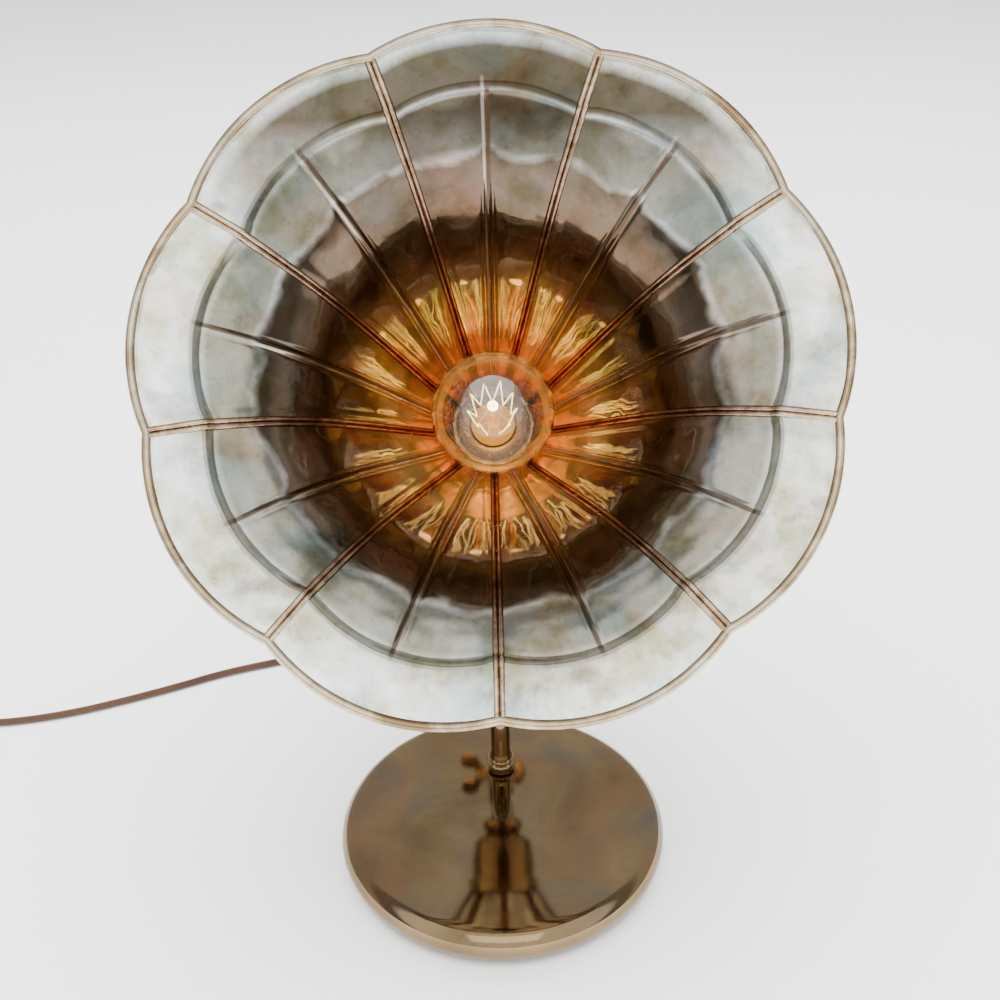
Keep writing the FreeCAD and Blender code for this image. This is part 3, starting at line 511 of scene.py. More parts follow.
@dataclass(frozen=True)
class PetalNickel:
    """Tarnished nickel plate: pale and cloudy on the lip, brown inside, with painted light in its
    bands.

    The UV map of a petal runs across it in u and from throat to rim in v. The two ramps are looked
    up by v. Besides the plate's tarnish they hold painted light: a darker painted reflection inside,
    a thin painted highlight where that ends, a painted highlight and painted shade at the step, and
    orange towards the throat that is a painted glow of the bulb. The petals at the top of the bell,
    told by their height, take the darker crown, a painted darker reflection with a painted pale cap
    near the rim. A painted shade line and a painted highlight run beside each mid-petal fold.
    """

    name: str = "petal_nickel"
    # The bell's stops hold painted light: the dark stops from 0.385 to 0.575 are partly a painted
    # dark reflection, 0.592 is a painted highlight, 0.757 and 0.766 are a painted highlight and
    # painted shade at the step, and the orange up to 0.32 is a painted glow of the bulb.
    bell: tuple[tuple[float, Point], ...] = (
        (0.00, (0.14, 0.026, 0.004)), (0.10, (0.42, 0.078, 0.008)), (0.20, (0.46, 0.17, 0.028)),
        (0.32, (0.46, 0.29, 0.080)), (0.385, (0.20, 0.11, 0.050)), (0.46, (0.13, 0.085, 0.055)),
        (0.575, (0.17, 0.125, 0.095)),
        (0.592, (0.70, 0.69, 0.68)), (0.606, (0.42, 0.41, 0.35)), (0.73, (0.42, 0.42, 0.36)),
        (0.757, (0.70, 0.71, 0.70)), (0.766, (0.36, 0.36, 0.30)), (0.785, (0.58, 0.59, 0.54)),
        (0.86, (0.78, 0.80, 0.79)), (0.975, (0.84, 0.86, 0.84)), (0.985, (0.16, 0.11, 0.06)),
        (1.00, (0.12, 0.08, 0.05)))
    # The crown is a painted darker reflection for the top petals: 0.762 is a painted highlight at
    # the step, 0.935 to 0.975 a painted pale cap, and the orange up to 0.31 a painted glow of the
    # bulb.
    crown: tuple[tuple[float, Point], ...] = (
        (0.00, (0.14, 0.026, 0.004)), (0.10, (0.40, 0.078, 0.008)), (0.20, (0.44, 0.16, 0.027)),
        (0.31, (0.42, 0.26, 0.075)), (0.38, (0.14, 0.08, 0.045)), (0.46, (0.095, 0.072, 0.066)),
        (0.62, (0.085, 0.072, 0.060)),
        (0.74, (0.078, 0.063, 0.046)), (0.762, (0.40, 0.42, 0.41)), (0.775, (0.07, 0.058, 0.04)),
        (0.89, (0.085, 0.072, 0.052)), (0.935, (0.62, 0.65, 0.65)), (0.975, (0.72, 0.75, 0.75)),
        (0.985, (0.14, 0.10, 0.06)), (1.00, (0.12, 0.08, 0.05)))
    # Painted shade on one side of each mid-petal fold, and a painted highlight on its other side.
    crease: Point = (0.075, 0.045, 0.028)
    shine: Point = (0.58, 0.53, 0.44)

    def make(self) -> bpy.types.Material:
        """Build the material."""
        shader = Shader(self.name)
        across, lengthwise, _ = shader.parts("UV")
        side = shader.math("SUBTRACT", across, 0.5)
        off = shader.math("ABSOLUTE", side)
        middle = shader.math("SUBTRACT", shader.math("MULTIPLY", off, 4.0), 1.0)
        # chord and drift bend the ramps' bands across each petal, so that the edges of the painted
        # reflections follow each half of a petal like a chord.
        chord = shader.math("MULTIPLY", shader.math("MULTIPLY", middle, middle), -0.022)
        drift = shader.grade(shader.clouds(24, 3, 0.5, 0.3), 0.25, 0.75, -0.018, 0.024)
        inner = shader.grade(lengthwise, 0.66, 0.72, 1.0, 0.12)
        shift = shader.math("MULTIPLY", shader.math("ADD", chord, drift), inner)
        along = shader.math("ADD", lengthwise, shift)
        # The top petals, told by their height, take the crown's darker painted reflection.
        high = shader.grade(shader.parts("Object")[2], 0.49, 0.56)
        colour = shader.mix(high, shader.ramp(along, self.bell), shader.ramp(along, self.crown))
        stains = shader.ramp(shader.clouds(20, 6, 0.62, 0.25), [
            (0.34, (0.42, 0.38, 0.27)), (0.44, (0.78, 0.76, 0.66)), (0.55, (1.0, 1.0, 1.0)),
            (0.66, (1.14, 1.16, 1.18))])
        colour = shader.mix(0.8, colour, stains, "MULTIPLY")
        for tint, scale, most in (((0.50, 0.66, 0.76), 17.0, 0.7), ((0.86, 0.56, 0.44), 23.0, 0.5),
                                  ((0.64, 0.64, 0.40), 31.0, 0.7)):
            amount = shader.grade(shader.clouds(scale, 3, 0.5, 0.3), 0.50, 0.66, 0.0, most)
            colour = shader.mix(amount, colour, shader.mix(1.0, colour, tint, "MULTIPLY"))
        crawl = shader.grade(shader.clouds(170, 5, 0.75, 0.5), 0.56, 0.64, 0.0, 0.35)
        colour = shader.mix(crawl, colour, shader.mix(1.0, colour, (0.52, 0.46, 0.36), "MULTIPLY"))
        # Painted shade beside each mid-petal fold and a painted highlight on its other side, both
        # ending at the step.
        fold = shader.grade(lengthwise, 0.76, 0.81, 1.0, 0.0)
        valley = shader.math("ABSOLUTE", shader.math("ADD", side, 0.020))
        shadow = shader.grade(valley, 0.022, 0.040, 0.85, 0.0)
        colour = shader.mix(shader.math("MULTIPLY", shadow, fold), colour, self.crease)
        slope = shader.math("ABSOLUTE", shader.math("SUBTRACT", side, 0.042))
        light = shader.grade(slope, 0.012, 0.026, 0.45, 0.0)
        colour = shader.mix(shader.math("MULTIPLY", light, fold), colour, self.shine)
        shader.colour(colour)
        shader.join(shader.grade(lengthwise, 0.18, 0.46, 0.72, 1.0),
                    shader.surface.inputs["Metallic"])
        lip = shader.grade(along, 0.54, 0.62)
        clear = shader.grade(shader.clouds(60, 3, 0.6), 0.35, 0.7, 0.03, 0.12)
        cloudy = shader.grade(shader.clouds(75, 6, 0.7, 0.3), 0.3, 0.72, 0.10, 0.26)
        shader.roughness(shader.mix(lip, clear, cloudy))
        wavy = shader.bump(shader.clouds(34, 1, 0.5), 0.0013, 0.5)
        shader.bump(shader.clouds(100, 1, 0.5), 0.00018, 0.4, wavy)
        return shader.material


@dataclass(frozen=True)
class SeamCopper:
    """Coppery folded seam, dark and brown in the bell and paler on the lip.

    Its orange towards the throat is a painted glow of the bulb, and its grooves carry painted shade.
    """

    name: str = "seam_copper"

    def make(self) -> bpy.types.Material:
        """Build the material."""
        shader = Shader(self.name)
        shader.set(Metallic=1.0)
        across, lengthwise, _ = shader.parts("UV")
        # The orange at 0.25 is a painted glow of the bulb.
        colour = shader.ramp(lengthwise, [
            (0.0, (0.12, 0.03, 0.01)), (0.25, (0.46, 0.16, 0.05)), (0.45, (0.30, 0.17, 0.11)),
            (0.62, (0.36, 0.24, 0.17)), (0.80, (0.56, 0.44, 0.32)), (1.0, (0.66, 0.54, 0.38))])
        stains = shader.ramp(shader.clouds(70, 6, 0.7, 0.3), [
            (0.36, (0.45, 0.36, 0.28)), (0.60, (1.0, 1.0, 1.0))])
        colour = shader.mix(1.0, colour, stains, "MULTIPLY")
        off = shader.math("ABSOLUTE", shader.math("SUBTRACT", across, 0.5))
        # Painted shade in the seam's middle and along its edges, where it tucks into the petals.
        painted_groove_shade = shader.math("MAXIMUM", shader.grade(off, 0.05, 0.09, 0.9, 0.0),
                             shader.grade(off, 0.37, 0.41, 0.0, 0.9))
        shader.colour(shader.mix(painted_groove_shade, colour, (0.045, 0.026, 0.016)))
        shader.roughness(shader.grade(shader.clouds(130, 5), 0.3, 0.7, 0.09, 0.28))
        shader.bump(shader.clouds(260, 3), 0.0002, 0.5)
        return shader.material


@dataclass(frozen=True)
class Moulded:
    """Moulded, glazed or rubbery stuff with a faint orange-peel surface."""

    name: str
    tone: Point
    dull: float
    grain: float = 700.0
    relief: float = 0.00004

    def make(self) -> bpy.types.Material:
        """Build the material."""
        shader = Shader(self.name)
        patches = shader.clouds(60, 4, 0.6)
        dark = tuple(part * 0.7 for part in self.tone)
        shader.colour(shader.ramp(patches, [(0.35, dark), (0.65, self.tone)]))
        shader.roughness(shader.grade(shader.clouds(240, 4), 0.3, 0.7, self.dull * 0.8,
                                      min(self.dull * 1.25, 1)))
        shader.bump(shader.clouds(self.grain, 3, 0.6), self.relief, 0.6)
        return shader.material


@dataclass(frozen=True)
class Felt:
    """Pressed felt with standing fibres."""

    name: str = "pressed_felt"
    tone: Point = (0.012, 0.011, 0.011)

    def make(self) -> bpy.types.Material:
        """Build the material."""
        shader = Shader(self.name)
        shader.set(Roughness=1.0, Sheen_Weight=0.4, Sheen_Roughness=0.5)
        fibres = shader.clouds(1800, 6, 0.8, 2.0)
        light = tuple(part * 3 for part in self.tone)
        shader.colour(shader.ramp(fibres, [(0.4, self.tone), (0.7, light)]))
        shader.bump(fibres, 0.0004, 1.0)
        return shader.material


@dataclass(frozen=True)
class BraidedTextile:
    """Braided yarn over a round lead. Its UV map counts turns round and metres along."""

    name: str = "braided_textile"
    tone: Point = (0.055, 0.024, 0.012)
    pitch: float = 0.007
    yarns: int = 8

    def make(self) -> bpy.types.Material:
        """Build the material."""
        shader = Shader(self.name)
        shader.set(Roughness=0.78, Sheen_Weight=0.12, Sheen_Roughness=0.4)
        around, lengthwise, _ = shader.parts("UV")
        turns = shader.math("MULTIPLY", around, math.tau * self.yarns)
        lean = math.tau / self.pitch * self.yarns / 2
        left, right = (
            shader.math("SINE", shader.math("MULTIPLY_ADD", lengthwise, side * lean, turns))
            for side in (1, -1))
        height = shader.grade(shader.math("MAXIMUM", left, right), -0.4, 1.0)
        worn = shader.clouds(30, 3)
        deep = tuple(part * 0.25 for part in self.tone)
        pale = tuple(part * 2.2 for part in self.tone)
        # Colour by yarn height: painted shade (deep) in the gaps between yarns and a painted
        # highlight (pale) on their crests; worn patches darken towards the same painted shade.
        colour = shader.ramp(height, [(0.0, deep), (0.55, self.tone), (1.0, pale)])
        shader.colour(shader.mix(shader.grade(worn, 0.4, 0.7, 0.0, 0.4), colour, deep))
        yarn = shader.bump(height, 0.0004, 0.9)
        shader.bump(shader.clouds(5000, 2), 0.0001, 0.5, yarn)
        return shader.material


@dataclass(frozen=True)
class LampGlass:
    """Clear or faintly tinted lamp glass with slight ripples; a glow, where one is set, is painted
    light.
    """

    name: str
    tone: Point = (1.0, 0.985, 0.96)
    dull: float = 0.0
    glow: Point = (0.0, 0.0, 0.0)
    power: float = 0.0

    def make(self) -> bpy.types.Material:
        """Build the material."""
        shader = Shader(self.name)
        shader.set(Transmission_Weight=1.0, IOR=1.48, Roughness=self.dull,
                   Emission_Color=(*self.glow, 1), Emission_Strength=self.power)
        dim = tuple(part * 0.96 for part in self.tone)
        shader.colour(shader.ramp(shader.clouds(30, 2), [(0.3, dim), (0.7, self.tone)]))
        shader.bump(shader.clouds(40, 1), 0.0001, 0.2)
        return shader.material


@dataclass(frozen=True)
class GlowingWire:
    """Drawn filament wire at white heat, its heat drifting a little along it."""

    name: str = "glowing_wire"
    power: float = 5.5

    def make(self) -> bpy.types.Material:
        """Build the material."""
        shader = Shader(self.name)
        shader.set(Emission_Strength=self.power, Roughness=0.5, Metallic=1.0)
        heat = shader.ramp(shader.clouds(120, 3), [(0.3, (1.0, 0.88, 0.32)),
                                                   (0.7, (1.0, 0.96, 0.44))])
        shader.join(heat, shader.surface.inputs["Emission Color"])
        shader.colour(heat)
        return shader.material


class Finish(Enum):
    """The finishes of the lamp, each named for the record's slot that it dresses.

    PETAL_BACK has no slot of its own: it is the second finish of a petal, on its outer face.
    """

    PATINATED_BRASS = AgedMetal(
        "patinated_brass", (0.27, 0.20, 0.105), (0.17, 0.118, 0.062),
        ((0.20, 0.120, 0.092), (0.13, 0.12, 0.11), (0.25, 0.14, 0.075)), (0.03, 0.07), 10,
        0.00001)
    TURNED_BRASS = AgedMetal(
        "turned_brass", (0.52, 0.34, 0.16), (0.26, 0.15, 0.06), ((0.38, 0.20, 0.11),))
    STEEL = AgedMetal("steel", (0.56, 0.56, 0.55), (0.34, 0.33, 0.31), ((0.42, 0.40, 0.36),),
                      (0.25, 0.45), 60)
    CAST_IRON = AgedMetal("cast_iron", (0.09, 0.09, 0.09), (0.05, 0.045, 0.04), (),
                          (0.55, 0.75), 90, 0.0004)
    FELT = Felt()
    FRICTION_FIBRE = Moulded("friction_fibre", (0.13, 0.07, 0.04), 0.8)
    RUBBER = Moulded("rubber", (0.035, 0.024, 0.018), 0.6)
    CABLE_SHEATH = Moulded("cable_sheath", (0.07, 0.04, 0.02), 0.55)
    CORD_TEXTILE = BraidedTextile()
    DARK_PHENOLIC = Moulded("dark_phenolic", (0.020, 0.016, 0.013), 0.28)
    PORCELAIN = Moulded("porcelain", (0.80, 0.78, 0.72), 0.15, 200)
    BULB_GLASS = LampGlass("bulb_glass")
    CAP_METAL = AgedMetal("cap_metal", (0.66, 0.52, 0.30), (0.42, 0.30, 0.15), (),
                          (0.18, 0.32), 60)
    CAP_VITRITE = Moulded("cap_vitrite", (0.008, 0.008, 0.010), 0.1)
    FILAMENT_WIRE = GlowingWire()
    TARNISHED_NICKEL = PetalNickel()
    PETAL_BACK = AgedMetal(
        "petal_back", (0.40, 0.36, 0.28), (0.22, 0.18, 0.125),
        ((0.30, 0.22, 0.15), (0.36, 0.38, 0.36)), (0.12, 0.28), 14, 0.00002)
    SEAM_COPPER = SeamCopper()
    RIM_BRASS = AgedMetal(
        "rim_brass", (0.62, 0.50, 0.33), (0.24, 0.16, 0.08),
        ((0.58, 0.56, 0.48), (0.34, 0.22, 0.11)), (0.08, 0.2), 34)

    @cache
    def material(self) -> bpy.types.Material:
        """The finish's material, made the first time it is asked for."""
        return self.value.make()


def dress(piece: bpy.types.Object, finish: Finish) -> None:
    """Give a piece its finish alone.

    Args:
        piece: the mesh object.
        finish: its finish.
    """
    piece.data.materials.clear()
    piece.data.materials.append(finish.material())


def fit(piece: bpy.types.Object, body: str, finish: Finish, *nodes: str) -> bpy.types.Object:
    """Put a finished piece on its body in place of the nodes that it stands for.

    Args:
        piece: the finished mesh object.
        body: the body that it moves with.
        finish: its finish.
        *nodes: nodes of the frame that it replaces.

    Returns:
        The same object.
    """
    dress(piece, finish)
    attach(piece, body)
    if nodes:
        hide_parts(*nodes)
    LOG.info("%s: %d faces on %s", piece.name, len(piece.data.polygons), body)
    return piece


# ---------------------------------------------------------------- the frame's own places
def joint(name: str) -> dict:
    """One joint of the record."""
    return next(j for j in frame["record"]["behaviour"]["joints"] if j["name"] == name)


PIVOT = Vector(joint("horn_tilt")["pos_m"])
BELL_AXIS = Vector(joint("bulb_out")["axis"]).normalized()
BELL_UP = BELL_AXIS.cross(Vector((1, 0, 0)))
BELL = Matrix.Translation(PIVOT) @ Matrix((Vector((1, 0, 0)), BELL_UP, BELL_AXIS)
                                          ).transposed().to_4x4()


# ---------------------------------------------------------------- studio
@dataclass
class Studio:
    """Camera, floor, soft lights and pale surroundings."""

    eye: Point = (0.0, -0.776, 0.783)
    tilt: float = 59.4
    roll: float = -1.2
    pan: float = -0.26
    lens: float = 46.8
    floor_size: float = 14.0
    surround: float = 1.8
    dome: tuple[tuple[float, float], ...] = (
        (0.0, 0.50), (0.16, 0.50), (0.28, 0.25), (0.44, 0.25), (0.54, 1.0))

    def camera(self) -> None:
        """Place the camera."""
        lens = bpy.data.cameras.new("camera")
        lens.lens = self.lens
        lens.sensor_width = 36
        lens.clip_start = 0.01
        holder = bpy.data.objects.new("camera", lens)
        bpy.context.collection.objects.link(holder)
        holder.location = self.eye
        aim = (Matrix.Rotation(math.radians(self.pan), 4, "Z")
               @ Matrix.Rotation(math.radians(self.tilt), 4, "X")
               @ Matrix.Rotation(math.radians(self.roll), 4, "Z"))
        holder.rotation_euler = aim.to_euler()
        bpy.context.scene.camera = holder

    def softbox(self, name: str, place: Point, aim: Point, size: tuple[float, float],
                power: float, tone: Point = (1, 1, 1), mirrored: bool = True) -> None:
        """Hang one rectangular soft light.

        Args:
            name: the light's name.
            place: where it hangs.
            aim: the point that it faces.
            size: width and height.
            power: watts.
            tone: its colour.
            mirrored: whether it shows in polished metal.
        """
        lamp = bpy.data.lights.new(name, "AREA")
        lamp.shape = "RECTANGLE"
        lamp.size, lamp.size_y = size
        lamp.energy = power
        lamp.color = tone
        holder = bpy.data.objects.new(name, lamp)
        bpy.context.collection.objects.link(holder)
        holder.visible_glossy = mirrored
        holder.location = place
        way = Vector(aim) - Vector(place)
        holder.rotation_euler = way.to_track_quat("-Z", "Y").to_euler()

    def build(self) -> None:
        """Make the whole studio."""
        deselect()
        bpy.ops.mesh.primitive_plane_add(size=self.floor_size, location=(0, 0, -0.0005))
        floor = named("floor")
        pale = Shader("pale_floor")
        pale.set(Roughness=0.9)
        pale.colour(pale.ramp(pale.clouds(1.5), [(0.3, (0.86, 0.86, 0.86)),
                                                 (0.7, (0.90, 0.90, 0.90))]))
        floor.data.materials.append(pale.material)
        world = bpy.data.worlds.new("surroundings")
        bpy.context.scene.world = world
        world.use_nodes = True
        nodes, links = world.node_tree.nodes, world.node_tree.links
        way = nodes.new("ShaderNodeTexCoord")
        facing = nodes.new("ShaderNodeVectorMath")
        facing.operation = "DOT_PRODUCT"
        facing.inputs[1].default_value = BELL_AXIS
        band = nodes.new("ShaderNodeValToRGB")
        while len(band.color_ramp.elements) < len(self.dome):
            band.color_ramp.elements.new(0.5)
        for element, (place, tone) in zip(band.color_ramp.elements, self.dome):
            element.position = place
            element.color = (tone, tone * 0.985, tone * 0.97, 1)
        links.new(way.outputs["Generated"], facing.inputs[0])
        links.new(facing.outputs["Value"], band.inputs["Fac"])
        links.new(band.outputs["Color"], nodes["Background"].inputs["Color"])
        nodes["Background"].inputs["Strength"].default_value = self.surround
        mouth = Vector((0, -0.002, 0.427))
        self.softbox("front", mouth + BELL_AXIS * 1.9, mouth, (1.4, 1.4), 10)
        self.softbox("overhead", (0, 0.3, 3.0), (0, 0.2, 0), (4.0, 4.0), 430, mirrored=False)


# ---------------------------------------------------------------- horn
@dataclass
class Horn:
    """Petals, seams and rolled rim of the bell."""

    petals: int = 9
    lobe_arc: float = 0.1418
    lobe_offset: float = 0.096
    mouth: float = 0.330
    sheet: float = 0.0008
    rib_half: float = 0.0033
    bead: float = 0.0034
    step_start: float = 0.76
    crease_height: float = 0.0016
    crease_reach: float = 0.0026
    valley_depth: float = 0.0007
    valley_place: float = 0.0038
    hem_height: float = 0.0007
    hem_width: float = 0.0085
    dents: tuple[tuple[float, float], ...] = ((21, 0.0011), (55, 0.0004))
    meridian: tuple[tuple[float, float], ...] = (
        (0.0345, 0.122), (0.041, 0.132), (0.054, 0.152), (0.074, 0.185), (0.098, 0.225),
        (0.123, 0.262), (0.152, 0.294), (0.172, 0.3095), (0.1865, 0.3185))
    step: tuple[float, float] = (0.1915, 0.3235)
    lip: tuple[float, float] = (0.222, 0.3298)

    def __post_init__(self) -> None:
        """Work out the angle between seams."""
        self.angle = math.tau / self.petals

    def flare(self, v: float) -> tuple[float, float]:
        """Radius and height of the bell's outer face at a seam.

        Args:
            v: from 0 at the throat to 1 at the rim.

        Returns:
            (radius, height) along the bell's axis.
        """
        if v < self.step_start:
            t = v / self.step_start * (len(self.meridian) - 1)
            i = min(int(t), len(self.meridian) - 2)
            around = [self.meridian[max(0, min(len(self.meridian) - 1, i + k))]
                      for k in (-1, 0, 1, 2)]
            t -= i
            return tuple(0.5 * (2 * b + (c - a) * t + (2 * a - 5 * b + 4 * c - d) * t * t
                                + (3 * b - a - 3 * c + d) * t ** 3)
                         for a, b, c, d in zip(*around))
        marks = [self.meridian[-1], self.step, self.lip, (self.outline(self.angle / 2), self.mouth)]
        knots = [self.step_start, self.step_start + 0.03, 0.93, 1.0]
        for (a, b), (low, high) in zip(zip(marks, marks[1:]), zip(knots, knots[1:])):
            if v <= high + 1e-9:
                t = (v - low) / (high - low)
                return a[0] + (b[0] - a[0]) * t, a[1] + (b[1] - a[1]) * t
        return marks[-1]

    def outline(self, turn: float) -> float:
        """Radius of the lobed outline at an angle from the middle of a petal."""
        along = self.lobe_offset * math.cos(turn)
        return along + math.sqrt(self.lobe_arc ** 2 - (self.lobe_offset * math.sin(turn)) ** 2)

    def point(self, u: float, v: float) -> Point:
        """A point of a petal's outer face, its middle on the +X side.

        Args:
            u: from -1 at one seam to 1 at the other.
            v: from 0 at the throat to 1 at the rim.

        Returns:
            The point in the bell frame.
        """
        radius, height = self.flare(v)
        half = self.angle / 2
        tuck = math.asin(min(self.rib_half / radius, 0.9))
        u = 0.3 * u + 0.7 * u * abs(u) ** 0.8
        turn = u * (half - tuck)
        swell = self.outline(turn) / self.outline(half) - 1
        into_bell = min(v / self.step_start, 1.0)
        swell *= into_bell ** 3
        flat = (1 - math.cos(half / 2)) * (1 - (2 * abs(u) - 1) ** 2)
        flat *= 1 - into_bell ** 4
        away = abs(turn) * radius
        ridge = self.crease_height * max(0.0, 1 - away / self.crease_reach)
        ridge -= self.valley_depth * math.exp(-((away - self.valley_place) / 0.0014) ** 2)
        ridge *= min(1.0, max(0.0, (self.step_start - v) / 0.03))
        fold = (half - turn) * radius
        ridge += (self.hem_height / (1 + math.exp((fold - self.hem_width) / 0.0005))
                  * min(1, (1 - v) / 0.1))
        radius *= 1 + swell - flat
        return (radius - ridge) * math.cos(turn), (radius - ridge) * math.sin(turn), height

    def build_petals(self) -> None:
        """Shape one petal, copy it round the bell, and give each its own slight dents."""
        pattern = sheet_grid("petal_pattern", 84, 120, self.point)
        for index in range(self.petals):
            petal = pattern.copy()
            petal.data = pattern.data.copy()
            petal.name = petal.data.name = f"petal_{index + 1}"
            bpy.context.collection.objects.link(petal)
            turn = self.angle * (index + 0.5) - math.pi / 2
            petal.data.transform(Matrix.Rotation(turn, 4, "Z"))
            for vertex in petal.data.vertices:
                vertex.co.z += sum(noise.noise(vertex.co * rate) * deep for rate, deep in self.dents)
            wall = petal.modifiers.new("wall", "SOLIDIFY")
            wall.thickness = self.sheet
            wall.offset = -1
            apply_modifiers(petal)
            smooth(petal, 40)
            settle(petal, BELL)
            fit(petal, "horn", Finish.TARNISHED_NICKEL, f"horn_petal_{index + 1}")
            petal.data.materials.append(Finish.PETAL_BACK.material())
            for polygon in petal.data.polygons[:len(pattern.data.polygons)]:
                polygon.material_index = 1
        bpy.data.objects.remove(pattern)

    def rib_point(self, u: float, v: float) -> Point:
        """A point of a seam's folded rib, which lies along the +X side.

        Args:
            u: from -1 at one side of the rib to 1 at the other.
            v: from 0 at the throat to 1 at the rim.

        Returns:
            The point in the bell frame.
        """
        section = [(-1.15, -1.2), (-1.05, 0.2), (-0.85, 0.85), (-0.6, 1.0), (-0.32, 0.8),
                   (-0.16, 0.0), (0.0, -0.1), (0.16, 0.0), (0.32, 0.8), (0.6, 1.0),
                   (0.85, 0.85), (1.05, 0.2), (1.15, -1.2)]
        t = (u + 1) / 2 * (len(section) - 1)
        i = min(int(t), len(section) - 2)
        side = section[i][0] + (section[i + 1][0] - section[i][0]) * (t - i)
        lift = section[i][1] + (section[i + 1][1] - section[i][1]) * (t - i)
        radius, height = self.flare(v * 0.985)
        ahead, behind = self.flare(min(v * 0.985 + 0.01, 1)), self.flare(max(v * 0.985 - 0.01, 0))
        slope = Vector((ahead[0] - behind[0], ahead[1] - behind[1])).normalized()
        lift *= 0.0016
        narrow = 0.8 + 0.2 * v
        return (radius - slope.y * lift, side * self.rib_half * narrow, height + slope.x * lift)

    def build_seams(self) -> None:
        """Shape one folded seam and copy it to every seam, as one piece."""
        pattern = sheet_grid("seam_pattern", 24, 110, self.rib_point)
        wall = pattern.modifiers.new("wall", "SOLIDIFY")
        wall.thickness = 0.0007
        wall.offset = -1
        apply_modifiers(pattern)
        ribs = []
        for index in range(self.petals):
            rib = pattern.copy()
            rib.data = pattern.data.copy()
            bpy.context.collection.objects.link(rib)
            rib.data.transform(Matrix.Rotation(self.angle * index - math.pi / 2, 4, "Z"))
            ribs.append(rib)
        bpy.data.objects.remove(pattern)
        seams = joined("seam_ribs", ribs)
        smooth(seams, 50)
        settle(seams, BELL)
        fit(seams, "horn", Finish.SEAM_COPPER, "horn_seams")

    def build_rim(self) -> None:
        """Roll the rim's bead along the lobes, pinched a little at each seam."""
        steps = 40
        path = []
        for index in range(self.petals * steps):
            turn = self.angle * (index / steps)
            local = (index % steps) / steps * self.angle - self.angle / 2
            reach = self.outline(local) - 0.0005
            dent = noise.noise(Vector((math.cos(turn), math.sin(turn), 0)) * 6) * 0.0005
            path.append(Vector((reach * math.cos(turn - math.pi / 2),
                                reach * math.sin(turn - math.pi / 2),
                                self.mouth - self.sheet / 2 + dent)))
        rim = bar("rim_bead", path, self.bead, 24, closed=True)
        settle(rim, BELL)
        fit(rim, "horn", Finish.RIM_BRASS, "horn_rim")

    def build(self) -> None:
        """Make the whole bell."""
        self.build_petals()
        self.build_seams()
        self.build_rim()


